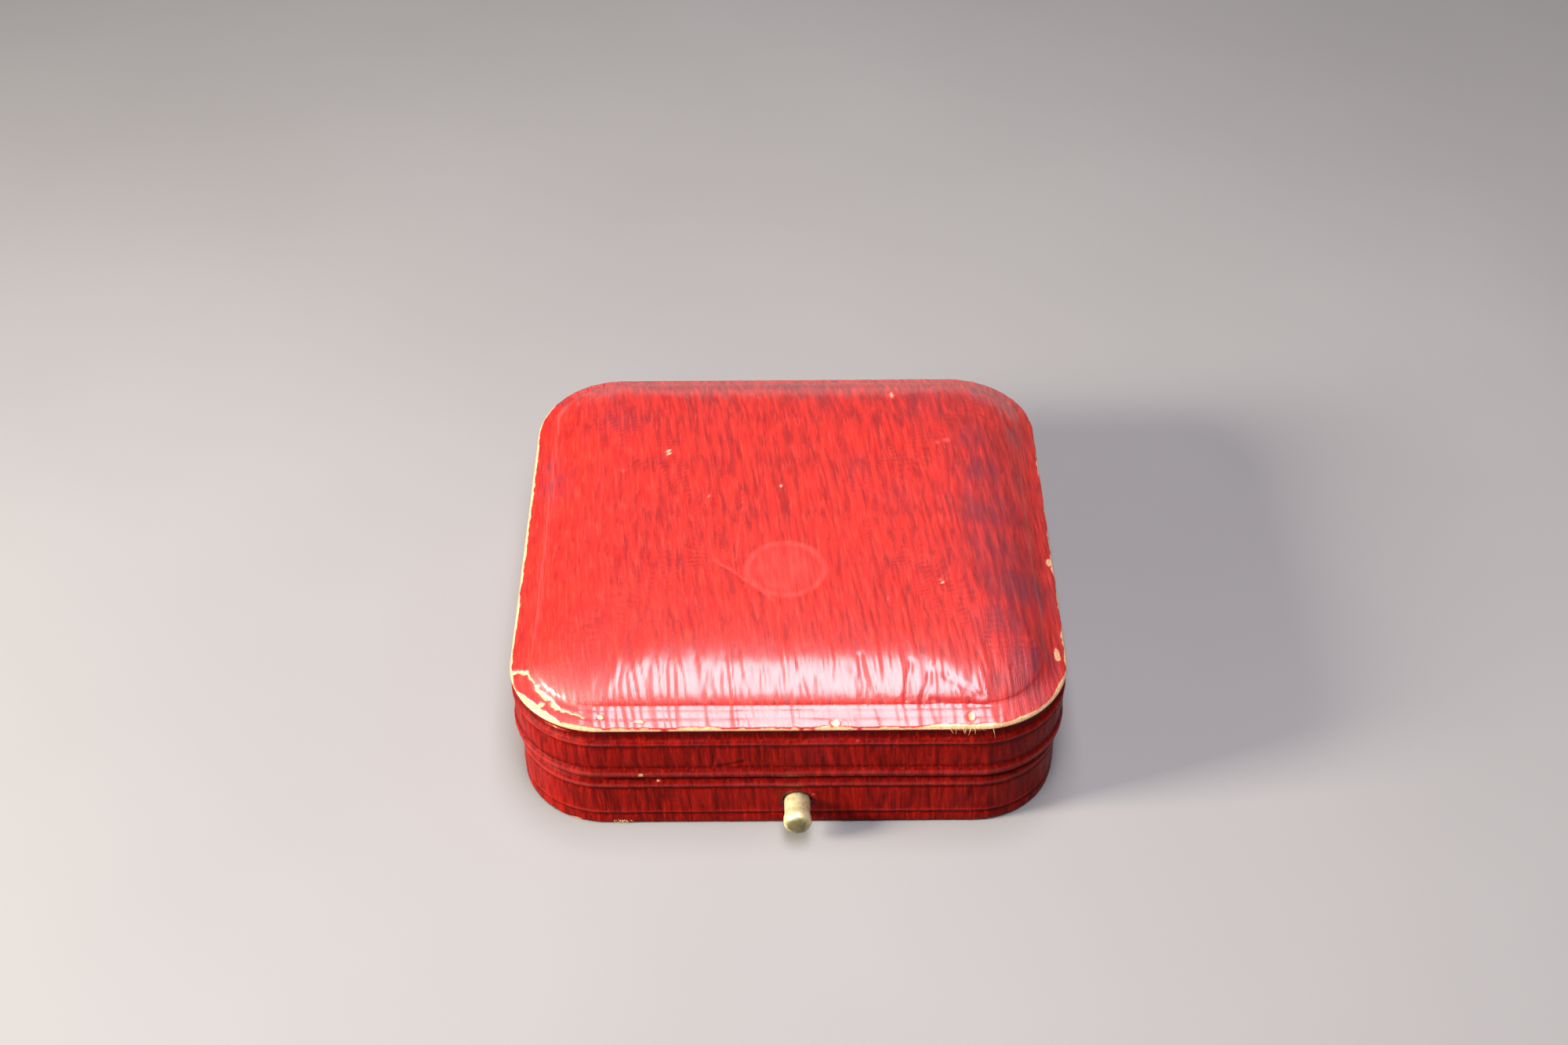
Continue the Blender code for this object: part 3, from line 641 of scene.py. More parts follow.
SATIN = matte_material(
    "ivory_satin",
    clouds(EVEN, 0.08, 4, 0.6),
    [(0.35, (0.29, 0.22, 0.13)), (0.65, (0.38, 0.31, 0.20))],
    clouds((9, 0.6, 9), 1.2, 2, 0.5),
    [(0.35, 0.35), (0.6, 0.0)],
    (0.20, 0.15, 0.085),
    (0.35, 0.03),
    [(0.3, 0.42), (0.7, 0.3)],
    Sheen_Weight=0.25,
    Anisotropic=0.5,
)
CLOTH = matte_material(
    "collar_cloth",
    clouds(EVEN, 0.15, 4, 0.6),
    [(0.35, (0.25, 0.19, 0.11)), (0.65, (0.33, 0.26, 0.165))],
    weave,
    [(0.2, 0.45), (0.7, 0.0)],
    (0.15, 0.11, 0.06),
    (0.4, 0.05),
    0.85,
    Sheen_Weight=0.2,
)
WOOD = matte_material(
    "limewood",
    clouds((0.06, 0.5, 0.5), 1.0, 4, 0.6, 0.5),
    [(0.35, (0.24, 0.14, 0.06)), (0.65, (0.34, 0.23, 0.12))],
    clouds((0.2, 5, 5), 1.0, 3, 0.6),
    [(0.35, 0.4), (0.6, 0.0)],
    (0.15, 0.08, 0.035),
    (0.4, 0.05),
    0.65,
)
CARD = board_material("pasteboard", (0.34, 0.27, 0.17), (0.24, 0.18, 0.10), 3.0)
PAPER = board_material("underside_paper", (0.11, 0.010, 0.012), (0.06, 0.005, 0.008), 4.0)


def dress(obj, finish, slot, *nodes):
    """Gives a new piece its material, and hides the CAD nodes it stands for. slot is not used."""
    obj.data.materials.clear()
    obj.data.materials.append(finish)
    if nodes:
        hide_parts(*nodes)


# ---------------------------------------------------------------- the leather's surface


def grain_relief(across, other, along):
    """Long low ridges with narrow valleys between them, in millimetres and as a 0-1 map."""
    warp = 0.35 * noise(across / 6, other / 6, along / 14)
    warp += 0.10 * noise(across / 1.6, other / 1.6, along / 4)
    bold = noise((across + warp) / 0.95, (other + warp) / 0.95, along / 10)
    thin = noise((across + 1.5 * warp) / 0.55, (other + 1.5 * warp) / 0.55, along / 5)
    slow = noise(across / 2.1, other / 2.1, along / 12)
    ridge = np.minimum(1.6 * np.abs(bold), 1)
    crest = np.minimum(1.8 * np.abs(thin), 1)
    height = 0.17 * ridge + 0.035 * crest + 0.07 * slow - 0.10
    return height, 1 - (1 - 0.65 * ridge - 0.35 * crest) ** 1.7


# How much the top's grain leans sideways.
TOP_LEAN = 0.1

# Marks on the lid's top: (x, y, radius, strength).
TOP_STAINS = [
    (25.5, 15.5, 3.6, 0.5), (27.0, 9.0, 4.4, 0.62), (26.5, 1.5, 4.6, 0.8),
    (27.5, -6.0, 4.4, 0.85), (29.0, -12.5, 4.4, 0.95), (27.5, -19.0, 4.2, 0.7),
    (30.0, -24.5, 3.6, 0.85), (29.5, -29.0, 2.8, 0.7), (31.5, 18.0, 2.6, 0.45),
    (-31.8, 9.5, 1.9, 0.75), (-32.2, 13.5, 1.6, 0.55), (-30.8, 6.5, 1.5, 0.6),
    (-23.0, 20.5, 4.5, 0.3), (-10.0, 24.0, 5.0, 0.16), (3.0, 27.0, 6.0, 0.26),
    (20.0, 24.0, 6.0, 0.34), (28.0, 26.0, 3.6, 0.4), (-24.0, 27.0, 5.0, 0.22),
    (14.5, 3.0, 3.2, 0.2), (9.0, 8.0, 3.4, 0.16), (19.0, -9.0, 4.0, 0.22),
    (18.0, -30.5, 3.0, 0.35), (22.5, -29.5, 2.6, 0.4),
]

# Pale specks and worn patches on the lid's top: (x, y, radius_x, radius_y, strength).
TOP_SPECKS = [
    (-16.1, 12.4, 0.28, 0.8, 1.0), (-0.8, 5.2, 0.22, 0.4, 0.9), (-10.4, 3.2, 0.2, 0.5, 0.7),
    (19.6, -13.3, 0.2, 0.5, 0.95), (14.9, 25.2, 0.35, 1.1, 0.8), (-22.0, 8.8, 0.2, 0.4, 0.6),
    (22.0, 14.8, 0.7, 0.5, 0.5), (20.6, 14.2, 0.5, 0.4, 0.5), (12.7, -16.4, 0.15, 0.4, 0.6),
    (-30.4, -30.2, 0.55, 0.4, 0.9), (-23.0, -32.5, 0.5, 0.4, 0.8), (-18.2, -33.1, 0.6, 0.3, 0.8),
    (5.6, -33.3, 0.7, 0.45, 1.0), (22.2, -32.5, 0.5, 0.7, 0.9), (34.4, -5.2, 0.5, 0.7, 0.9),
    (33.7, -22.5, 0.45, 1.3, 0.95),
]

# Fine creases on the lid's top: (start, end, width, depth, strength of the pale line).
TOP_CREASES = [
    ((-9.2, -9.3), (-1.7, -16.8), 0.2, 0.06, 0.42),
    ((-5.8, 4.0), (-6.7, -9.3), 0.16, 0.04, 0.34),
    ((15.0, -26.5), (14.2, -31.0), 0.3, 0.12, 0.0),
    ((17.6, -27.0), (16.2, -31.2), 0.25, 0.10, 0.0),
    ((19.0, -28.2), (23.5, -30.6), 0.3, 0.12, 0.0),
    ((17.5, -30.9), (24.5, -31.3), 0.25, 0.08, 0.0),
    ((8.8, -25.5), (9.4, -31.0), 0.3, 0.10, 0.0),
    ((-34.9, -24.3), (-32.6, -25.1), 0.34, 0.05, 1.1),
    ((-32.6, -25.1), (-31.3, -27.8), 0.24, 0.04, 0.8),
    ((-31.3, -27.8), (-28.4, -31.0), 0.34, 0.04, 0.95),
    ((-28.4, -31.0), (-25.0, -32.5), 0.22, 0.03, 0.7),
]
RING_MARK = (-0.3, -11.0, 4.9)
RING_RUB = 0.42

# The wear over which the dyed skin is torn off, and how deep that is.
TORN_FROM = (0.4, 0.7)
TORN_DEPTH = 0.09
WALL_TORN_DEPTH = 0.08

# How much of the lid's top edge is rubbed through, by (x, y) along it: (x, y, reach, width,
# strength); width is how far the bare strip runs on to the border.
EDGE_WEAR = [
    (-35.0, 2.0, 26.0, 0.34, 1.15), (-33.5, 26.5, 6.0, 0.35, 0.95), (-34.5, -23.5, 2.6, 0.4, 1.0),
    (-31.2, -30.6, 3.6, 0.62, 1.0), (-25.5, -33.6, 2.6, 0.42, 0.7),
    (-19.0, -34.0, 3.0, 0.36, 0.5), (-11.0, -34.0, 3.0, 0.36, 0.62),
    (-3.0, -34.0, 3.0, 0.3, 0.45), (5.6, -34.0, 2.0, 0.45, 0.7), (12.0, -34.0, 3.6, 0.3, 0.45),
    (21.5, -34.0, 5.0, 0.42, 1.15), (29.0, -33.0, 4.0, 0.36, 1.05), (33.0, -28.0, 4.0, 0.4, 1.05),
    (35.0, -20.5, 3.5, 0.5, 1.0), (35.0, -14.0, 5.0, 0.22, 0.5), (35.0, -5.5, 2.2, 0.4, 0.9),
    (35.0, 4.0, 6.0, 0.22, 0.6), (35.0, 13.5, 2.5, 0.35, 0.75), (34.0, 23.0, 7.0, 0.22, 0.55),
    (12.0, 34.0, 14.0, 0.22, 0.4), (-14.0, 34.0, 14.0, 0.22, 0.4),
]

# The same for the walls' edges, and loose chips: (x, y, z, reach, height, strength).
LID_WALL_WEAR = [
    (33.0, -30.0, 9.35, 3.6, 0.5, 1.2), (34.3, -26.0, 9.5, 2.2, 0.4, 0.9),
    (-34.4, -26.3, 9.4, 3.8, 0.45, 1.15), (-35.0, 8.0, 9.3, 9.0, 0.22, 0.7),
    (35.0, 6.0, 9.3, 9.0, 0.22, 0.7), (-18.5, -34.0, 10.1, 0.35, 0.35, 0.95),
    (17.2, -34.0, 12.9, 0.22, 0.45, 1.0), (8.4, -34.0, 16.4, 0.25, 0.6, 1.0),
    (-26.0, -34.0, 17.1, 0.45, 0.4, 0.8), (10.0, -34.0, 9.3, 5.0, 0.15, 0.5),
    (-30.0, -33.6, 16.9, 3.0, 0.3, 0.7), (22.0, -34.0, 17.55, 4.0, 0.3, 1.0),
]
BASE_WALL_WEAR = [
    (-21.2, -33.5, 0.15, 1.1, 0.55, 1.3), (-27.2, -32.8, 0.15, 1.0, 0.4, 1.05),
    (-16.4, -33.5, 8.3, 0.3, 0.3, 1.0), (33.4, -25.5, 0.5, 1.4, 0.35, 0.95),
    (-34.0, -20.0, 0.15, 4.0, 0.25, 0.75), (34.5, 10.0, 0.15, 8.0, 0.2, 0.7),
    (0.0, 33.5, 0.15, 10.0, 0.2, 0.7), (26.0, -33.0, 0.15, 4.0, 0.2, 0.75),
    (3.0, -33.5, 5.4, 0.35, 0.2, 0.7),
]


def top_stain(x, y):
    streaky = noise(x / 0.8, 7.3, y / 6) + 0.5 * noise(x / 2.2, 1.9, y / 9)
    stain = np.zeros_like(x)
    for place_x, place_y, radius, strength in TOP_STAINS:
        away = np.hypot(x - place_x, y - place_y) / radius
        stain = np.maximum(stain, strength * np.exp(-(away**2)))
    return np.clip(stain * (0.95 + 1.1 * streaky), 0, 1)


def top_rubbing(x, y, inset, ragged, uneven):
    """Where the top is worn: its specks, and the bare strips along its edge."""
    wear = np.zeros_like(x)
    for place_x, place_y, across, along, strength in TOP_SPECKS:
        away = np.hypot((x - place_x) / across, (y - place_y) / along) + 0.5 * ragged
        wear = np.maximum(wear, strength * (1 - smooth(0.5, 1.3, away)))
    for place_x, place_y, reach, width, strength in EDGE_WEAR:
        away = np.hypot(x - place_x, y - place_y) / reach
        worn = strength * (1 - smooth(0.6, 1.3, away + 0.3 * uneven)) + uneven
        bare = width * np.clip(worn, 0, 1.4)
        wear = np.maximum(wear, 1 - smooth(0.6 * bare, 1.15 * bare + 0.02, inset + 0.08 * ragged))
    return np.clip(wear, 0, 1)


def top_marks(x, y, inset):
    """The lid top's stain, wear and extra depth, from the lists above."""
    ragged = noise(x / 0.9, 3.1, y / 0.9) + 0.6 * noise(x / 0.3, 5.7, y / 0.35)
    uneven = noise(x / 2.6, 8.3, y / 2.6) + 0.6 * noise(x / 0.8, 3.9, y / 0.8)
    wear = top_rubbing(x, y, inset, ragged, uneven)
    depth = np.zeros_like(x)
    for start, end, width, deep, pale in TOP_CREASES:
        away = to_segment(x + 0.35 * uneven, y + 0.35 * ragged, start, end)
        line = np.exp(-((away / width) ** 2))
        depth += deep * line
        wear = np.maximum(wear, np.clip(pale * line * (1 + 0.5 * uneven), 0, 1))
    ring_x, ring_y, ring_radius = RING_MARK
    ring = np.hypot(x - ring_x, y - ring_y)
    rubbed = 0.30 * bump_at(ring, ring_radius, 0.5) + 0.22 * (1 - smooth(3.0, 5.4, ring))
    rubbed *= 1 + noise(x / 1.1, 4.4, y / 2.5)
    wear = np.maximum(wear, np.minimum(rubbed, RING_RUB))
    depth += 0.035 * bump_at(ring, ring_radius, 0.45) * smooth(0.5, -0.7, (y - ring_y) / ring)
    depth += TORN_DEPTH * smooth(*TORN_FROM, wear)
    return top_stain(x, y), wear, depth


def wall_wear(x, y, z, places):
    ragged = noise(x / 0.9, y / 0.9, z / 0.7) + 0.6 * noise(x / 0.3, y / 0.3, z / 0.35)
    wear = np.zeros_like(x)
    for place_x, place_y, place_z, reach, height, strength in places:
        around = np.hypot(x - place_x, y - place_y) / reach
        away = np.hypot(around, (z - place_z) / height) + 0.5 * ragged
        wear = np.maximum(wear, strength * (1 - smooth(0.5, 1.25, away)))
    return np.clip(wear, 0, 1)


def finish_leather(obj, grain, relief, stain, wear):
    set_attribute(obj, "grain", grain)
    set_attribute(obj, "relief", relief)
    set_attribute(obj, "stain", stain)
    set_attribute(obj, "wear", wear)


# ---------------------------------------------------------------- the lid's top


EDGE_Z = TOP_LOW[2] + 0.7
BORDER_OUTER_Z = EDGE_Z + 0.12
BORDER_SLOPE = 0.32
EDGE_ROUND = 0.3
DOME_FOOT_Z = BORDER_OUTER_Z + BORDER_SLOPE * BORDER - 0.1
DOME_HEIGHT = TOP_HIGH[2] - DOME_FOOT_Z
UNDER_Z = 17.7
UNDER_FOOT = BORDER + 0.65


def border_height(inset, front):
    """The border: a round edge, then two low rolled beads where front is 1."""
    corner = 1 - np.clip(inset / EDGE_ROUND, 0, 1)
    edge = -EDGE_ROUND * (1 - np.sqrt(1 - corner**2))
    beads = 0.05 * (bump_at(inset, 0.85, 0.42) + bump_at(inset, 2.0, 0.45))
    groove = -0.01 * bump_at(inset, 1.42, 0.16)
    rise = BORDER_SLOPE * np.minimum(inset, BORDER + 1)
    return BORDER_OUTER_Z + rise + edge + front * (beads + groove)


def dome_profile(outward):
    """1 in the middle of the dome and 0 at its foot, where outward is 1."""
    return (1 - outward**6) ** 0.68


def dome_height(inset):
    inward = np.clip((inset - BORDER) / (LID_HALF[1] - BORDER), 0, 1)
    outside = np.maximum(BORDER - inset, 0)
    return DOME_FOOT_Z - 1.6 * outside + DOME_HEIGHT * dome_profile(1 - inward)


def top_height(inset, out_y, worn):
    """Border and dome, joined by a fillet that is tight at the front and wide elsewhere."""
    fillet = 2.2 - 1.4 * smooth(0.3, 0.95, -out_y)
    border = border_height(inset, worn * smooth(0.75, 0.99, -out_y))
    dome = dome_height(inset)
    near = np.maximum(fillet - np.abs(border - dome), 0) / fillet
    return np.maximum(border, dome) + near**2 * fillet / 4


def top_insets():
    border = np.arange(0.0, BORDER, 0.085)
    shoulder = BORDER + np.array([0.03, 0.09, 0.17, 0.27, 0.4, 0.56, 0.74, 0.94, 1.16, 1.4])
    rest = np.linspace(BORDER + 1.65, LID_HALF[1], 100)
    return np.concatenate([border, shoulder, rest])


def top_ring(inset):
    """One ring of the top: it grows rounder towards the middle of the dome."""
    if inset <= BORDER:
        return LID_HALF[0] - inset, LID_HALF[1] - inset, LID_RADIUS - inset
    share = max(1 - (inset - BORDER) / (LID_HALF[1] - BORDER), 0)
    half = np.array(LID_HALF) - BORDER
    foot_radius = LID_RADIUS - BORDER
    roundness = smooth(0.0, 0.75, 1 - share)
    radius = foot_radius + (0.97 * half.min() - foot_radius) * roundness
    return share * half[0], share * half[1], share * radius


# Down the edge and back under it, as (inset, height).
RIM_PATH = [
    (0.03, 18.1), (0.14, 17.88), (0.3, 17.68), (0.46, 17.46), (0.72, 17.42), (0.76, 17.65),
    (3.55, 17.7),
]


def under_rows(x, y, out_x, out_y):
    """Rows below the outermost ring: round the edge, under it and up inside the dome."""
    places, outward = np.stack([x, y], axis=1), np.stack([out_x, out_y], axis=1)
    rows = [(places - step_in * outward, level) for step_in, level in RIM_PATH]
    for inward in (0.01, 0.03, 0.07, 0.14, 0.25, 0.42):
        share = 1 - inward
        level = UNDER_Z + (DOME_HEIGHT - 0.1) * dome_profile(share)
        rows.append(((places - UNDER_FOOT * outward) * share, level))
    return [np.column_stack([row, np.full(len(row), level)]) for row, level in rows]


def lid_top_skin():
    insets = top_insets()
    x, y, ring, out_x, out_y, faces, loop = disc([top_ring(d) for d in insets])
    inset = insets[ring]
    worn = 0.75 + 0.9 * noise(x / 4, 6.6, inset / 1.5)
    z = top_height(inset, out_y, worn)
    slope = np.clip(np.gradient(top_height(insets, 0.0, 1.0), insets), -4, 4)[ring]
    normal = np.stack([out_x * slope, out_y * slope, np.ones_like(x)], axis=1)
    normal /= np.linalg.norm(normal, axis=1, keepdims=True)

    drop = (z.max() - z) * 0.7
    across, along = x + out_x * drop, y + out_y * drop
    across = across + TOP_LEAN * along
    height, relief = grain_relief(across, 0 * across, along)
    stain, wear, depth = top_marks(x, y, inset)
    gain = 0.5 + 0.5 * smooth(BORDER - 0.4, BORDER + 0.8, inset)
    gain *= smooth(-0.05, 0.25, inset) * 0.8 + 0.2
    sag = 0.10 * noise(x / 14, 2.2, y / 14) + 0.05 * noise(x / 6, 4.1, y / 6)
    swell = sag * smooth(BORDER + 0.5, BORDER + 6, inset)
    points = np.stack([x, y, z], axis=1)
    points += normal * (height * gain - depth + swell)[:, None]

    rows = under_rows(x[loop], y[loop], out_x[loop], out_y[loop])
    points, faces = close_disc(points, faces, loop, rows)
    obj = new_object("lid_top_skin", points, faces, "lid", 75)
    grain = np.stack([across, 0 * across, along], axis=1)
    below = np.tile(loop, len(rows))
    wear_below = np.zeros(len(below))
    wear_below[: len(loop)] = 0.7 * wear[loop]
    finish_leather(
        obj,
        np.concatenate([grain, grain[below] + [0, 1.0, 0]]),
        np.concatenate([relief, relief[below]]),
        np.concatenate([stain, stain[below]]),
        np.concatenate([wear, wear_below]),
    )
    dress(obj, TOP_LEATHER, "red_leather", "lid_top_leather")


# ---------------------------------------------------------------- the walls


def rows_between(path, spacing):
    """Adds rows to a (inset, height, gain) path so that none are further apart."""
    made = []
    for start, end in zip(path, path[1:] + path[:1]):
        start, end = np.array(start, float), np.array(end, float)
        gap = np.hypot(*(end - start)[:2])
        on_show = start[2] > 0.05 or end[2] > 0.05
        steps = max(1, math.ceil(gap / spacing)) if on_show else 1
        made += [tuple(start + (end - start) * k / steps) for k in range(steps)]
    return made


def rounded_path(path):
    """Rounds the corners of the rows on show, as leather turned over an edge is."""
    rows = np.array(rows_between(path, 0.2))
    middle = (np.roll(rows, 1, axis=0) + 2 * rows + np.roll(rows, -1, axis=0)) / 4
    shown = (rows[:, 2] > 0.05)[:, None]
    return [tuple(row) for row in np.where(shown, middle, rows)]


# The walls' sections, as (inset, height, share of the grain's relief), all the way round.
LID_WALL_PATH = [
    (0.72, 9.3, 0.0), (3.55, 9.3, 0.0), (3.55, 9.2, 0.0), (0.75, 9.2, 0.1), (0.35, 9.22, 0.2),
    (0.1, 9.42, 0.3), (-0.06, 9.75, 0.4), (-0.12, 10.15, 0.4), (-0.08, 10.6, 0.4),
    (0.08, 10.9, 0.3), (0.3, 11.1, 0.2), (0.2, 11.45, 0.6), (0.13, 12.0, 0.9), (0.12, 13.5, 0.9),
    (0.16, 14.6, 0.8), (0.3, 14.95, 0.2), (0.08, 15.3, 0.35), (-0.04, 15.6, 0.35),
    (0.1, 15.95, 0.35), (0.42, 16.25, 0.3), (0.56, 16.6, 0.3), (0.56, 17.1, 0.3),
    (0.48, 17.4, 0.2), (0.7, 17.4, 0.0),
]
BASE_WALL_PATH = [
    (0.72, 0.02, 0.0), (0.5, 0.0, 0.05), (0.22, 0.12, 0.3), (0.06, 0.4, 0.5), (0.03, 1.0, 0.6),
    (0.07, 1.5, 0.5), (0.28, 1.85, 0.2), (0.04, 2.2, 0.4), (0.0, 2.5, 0.6), (0.08, 2.9, 0.9),
    (0.1, 4.5, 0.9), (0.1, 6.3, 0.8), (0.3, 6.75, 0.2), (0.0, 7.1, 0.4), (-0.12, 7.5, 0.4),
    (-0.08, 8.0, 0.4), (0.1, 8.35, 0.3), (0.34, 8.65, 0.2), (0.5, 8.85, 0.2), (0.7, 8.95, 0.1),
    (3.7, 9.0, 0.0), (3.7, 8.9, 0.0), (0.74, 8.88, 0.0),
]

# Creases in the lid's front wall, as (start, end, width, depth) in x and z.
WALL_CREASES = [
    ((-9.3, 13.2), (-9.6, 10.9), 0.22, 0.14),
    ((-9.0, 11.1), (-5.8, 12.1), 0.3, 0.22),
    ((-6.0, 12.1), (-4.6, 12.2), 0.3, 0.08),
    ((-3.6, 13.6), (-3.9, 11.6), 0.15, 0.05),
    ((16.5, 15.0), (15.9, 11.8), 0.2, 0.06),
]

# Painted shade along the walls, in the grooves, under the lid's edge, at the seam and at the foot, and
# painted highlights on the beads: (height, half width, strength).
LID_WALL_GROOVE_SHADE = [(16.8, 0.75, 1.0), (14.9, 0.3, 0.8), (11.1, 0.35, 0.9), (9.35, 0.25, 1.0)]
BASE_WALL_GROOVE_SHADE = [(8.9, 0.45, 1.0), (6.75, 0.35, 0.9), (1.85, 0.35, 0.85), (0.2, 0.3, 0.7)]
LID_WALL_BEAD_HIGHLIGHTS = [(15.55, 0.3, 0.24), (10.3, 0.4, 0.27)]
BASE_WALL_BEAD_HIGHLIGHTS = [(7.6, 0.38, 0.27), (2.45, 0.25, 0.2)]

# The distance between the walls' points, and how much their grain leans.
WALL_STEP = 0.27
WALL_LEAN = 0.06


def wall_waves(x, y, z):
    """Slow unevenness of the glued leather and of the tooled lines."""
    return 0.05 * noise(x / 9, y / 9, z / 6) + 0.025 * noise(x / 3, y / 3, z / 3)


def wall_relief(x, y, z, normal, shift, dents, places):
    """Grain, waves and torn edges; dents(x, z) is pressed into the front."""
    height, _ = grain_relief(x + WALL_LEAN * z + shift, y, z)
    height = height + wall_waves(x + 1.25 * shift, y, z) + 0.02
    front = np.broadcast_to(normal[..., 1] < -0.9, x.shape)
    height = height - front * dents(x, z)
    return height - WALL_TORN_DEPTH * smooth(*TORN_FROM, wall_wear(x, y, z, places))


def lid_dents(x, z):
    depth = 0.0
    for start, end, width, deep in WALL_CREASES:
        depth = depth + deep * np.exp(-((to_segment(x, z, start, end) / width) ** 2))
    return depth


def base_dents(x, z):
    away = np.hypot(x - BUTTON_X, z - BUTTON_Z)
    return 0.30 * (1 - smooth(HOLE_RADIUS - 0.1, HOLE_RADIUS + 0.7, away))


# Darkens the leather in a ring round the button's hole.
def base_hole_darkening(x, y, z):
    away = np.hypot(x - BUTTON_X, z - BUTTON_Z)
    on_front = y < BASE_LOW[1] + 3.5
    return 0.9 * (1 - smooth(HOLE_RADIUS, HOLE_RADIUS + 0.6, away)) * on_front


def finish_wall(obj, half, radius, shift, places, lines, beads, stain, most_stain):
    x, y, z = points_of(obj).T
    across = x + WALL_LEAN * z + shift
    _, relief = grain_relief(across, y, z)
    corner_x, corner_y = np.abs(x) - half[0] + radius, np.abs(y) - half[1] + radius
    inset = radius - np.hypot(np.maximum(corner_x, 0), np.maximum(corner_y, 0))
    wear = wall_wear(x, y, z, places) * (1 - smooth(0.6, 0.9, inset))
    level = z + 0.12 * noise(x / 5, y / 5, 0.5)
    # Painted shade: lowering the relief at the grooves, the cove under the lid's edge and the seam paints
    # them in the valley shade colour.
    for height, width, strength in lines:
        relief = relief * (1 - strength * bump_at(level, height, width))
    # Painted highlight: the beads are lightened through the wear map, which the material paints in its
    # lighter edge red.
    for height, width, strength in beads:
        uneven = 1 + 0.5 * noise(x / 2.5, y / 2.5, height)
        wear = np.maximum(wear, strength * uneven * bump_at(level, height, width))
    clouded = 0.22 * noise(x / 4, y / 4, z / 2 + shift / 2)
    grain = np.stack([across, y, z], axis=1)
    finish_leather(obj, grain, relief, np.clip(stain(x, y, z) + clouded, 0, most_stain), wear)


def leather_wall(name, body, half, radius, path, cutters, shift, dents, places, *marks):
    def relief(x, y, z, normal):
        return wall_relief(x, y, z, normal, shift, dents, places)

    obj = wall(name, half, radius, rounded_path(path), WALL_STEP, body, relief)
    cut_away(obj, cutters)
    finish_wall(obj, half, radius, shift, places, *marks)
    dress(obj, SHADED_WALL_LEATHER, "red_leather", name.replace("skin", "leather"))


def leather_walls():
    room = hinge_cutters()
    hole_place = (BUTTON_X, BASE_LOW[1], BUTTON_Z)
    depth = [(-1.5, HOLE_RADIUS), (1.2, HOLE_RADIUS)]
    hole = turned_mesh("cut_hole", depth, hole_place, (0, 1, 0), 64, None)
    lid_marks = (LID_WALL_WEAR, LID_WALL_GROOVE_SHADE, LID_WALL_BEAD_HIGHLIGHTS)
    base_marks = (BASE_WALL_WEAR, BASE_WALL_GROOVE_SHADE, BASE_WALL_BEAD_HIGHLIGHTS)
    leather_wall(
        "lid_side_skin", "lid", LID_HALF, LID_RADIUS, LID_WALL_PATH, room, 0, lid_dents,
        *lid_marks, lambda x, y, z: 0 * x, 0.5,
    )
    leather_wall(
        "base_side_skin", "base", BASE_HALF, BASE_RADIUS, BASE_WALL_PATH, [*room, hole], 40,
        base_dents, *base_marks, base_hole_darkening, 0.9,
    )
    remove([*room, hole])


# ---------------------------------------------------------------- the button


def knob():
    """The turned button: end is (from the tip, radius), side (from the tip, share of the
    button's radius) and stem (behind the wall's face, radius).
    """
    radius = (BUTTON_HIGH[0] - BUTTON_LOW[0]) / 2
    face = BASE_LOW[1]
    tip = BUTTON_LOW[1] - face
    end = [(0.02, 0.05), (-0.02, 0.2), (0.03, 0.5), (0.1, 0.85), (0.22, 1.18), (0.4, 1.45)]
    end += [(0.62, 1.64)]
    side = [(0.9, 1.0), (1.25, 1.0114), (1.6, 1.0), (1.78, 0.985), (1.9, 0.955), (2.0, 0.935)]
    side += [(2.6, 0.925), (3.2, 0.93), (4.0, 0.94)]
    stem = [(1.4, radius * 0.93), (1.4, 1.0), (3.6, 1.0), (3.6, 0.8), (4.38, 0.8)]
    stem += [(4.38, 0.55), (8.1, 0.55)]
    profile = [(tip + along, width) for along, width in end]
    profile += [(tip + along, radius * share) for along, share in side] + stem
    place = (BUTTON_X, face, BUTTON_Z)
    obj = turned_mesh("button_knob", profile, place, (0, 1, 0), 72, "button", 50)
    dress(obj, KNOB, "button_metal", "push_button")


# ---------------------------------------------------------------- the inside


def inside_wall(name, half, radius, low, high, outer, inner, body, soft, ripple):
    """A thin lining with a rounded top edge; ripple is how much it gathers."""
    path = [
        (outer, low, 0.3), (outer, high - soft, 0.5),
        (outer + soft * 0.4, high - soft * 0.3, 0.3), ((outer + inner) / 2, high, 0.2),
        (inner - soft * 0.4, high - soft * 0.3, 0.3), (inner, high - soft, 1.0),
        (inner, low, 1.0),
    ]

    def relief(x, y, z, normal):
        folds = noise(x / 1.5, y / 1.5, z / 12) + 0.4 * noise(x / 0.6, y / 0.6, z / 8)
        return ripple * folds

    return wall(name, half, radius, rows_between(path, 0.35), 0.35, body, relief)


def linings():
    catch_room = base_catch_cutters()
    keeper_room = catch_cutter("cut_rebate", LID_LOW[1], KEEPER_ROOM)
    base = (BASE_HALF, BASE_RADIUS, "base", catch_room)
    lid = (LID_HALF, LID_RADIUS, "lid", [keeper_room])
    # (piece, the CAD node, where, outer and inner inset, soft edge, ripple, material, slot)
    for name, cad, where, outer, inner, soft, ripple, finish, slot in (
        ("collar_cover", "base_collar", base, 3.8, 4.8, 0.3, 0.015, CLOTH, "collar_cloth"),
        ("collar_velvet", "collar_lining", base, 4.95, 5.3, 0.12, 0.03, VELVET, "velvet"),
        ("lid_wall_satin", "lid_wall_lining", lid, 3.75, 4.1, 0.12, 0.06, SATIN, "satin"),
    ):
        half, radius, body, cutters = where
        low, high = box_mm(cad)
        obj = inside_wall(name, half, radius, low[2], high[2], outer, inner, body, soft, ripple)
        cut_away(obj, cutters)
        dress(obj, finish, slot, cad)
    remove([*catch_room, keeper_room])


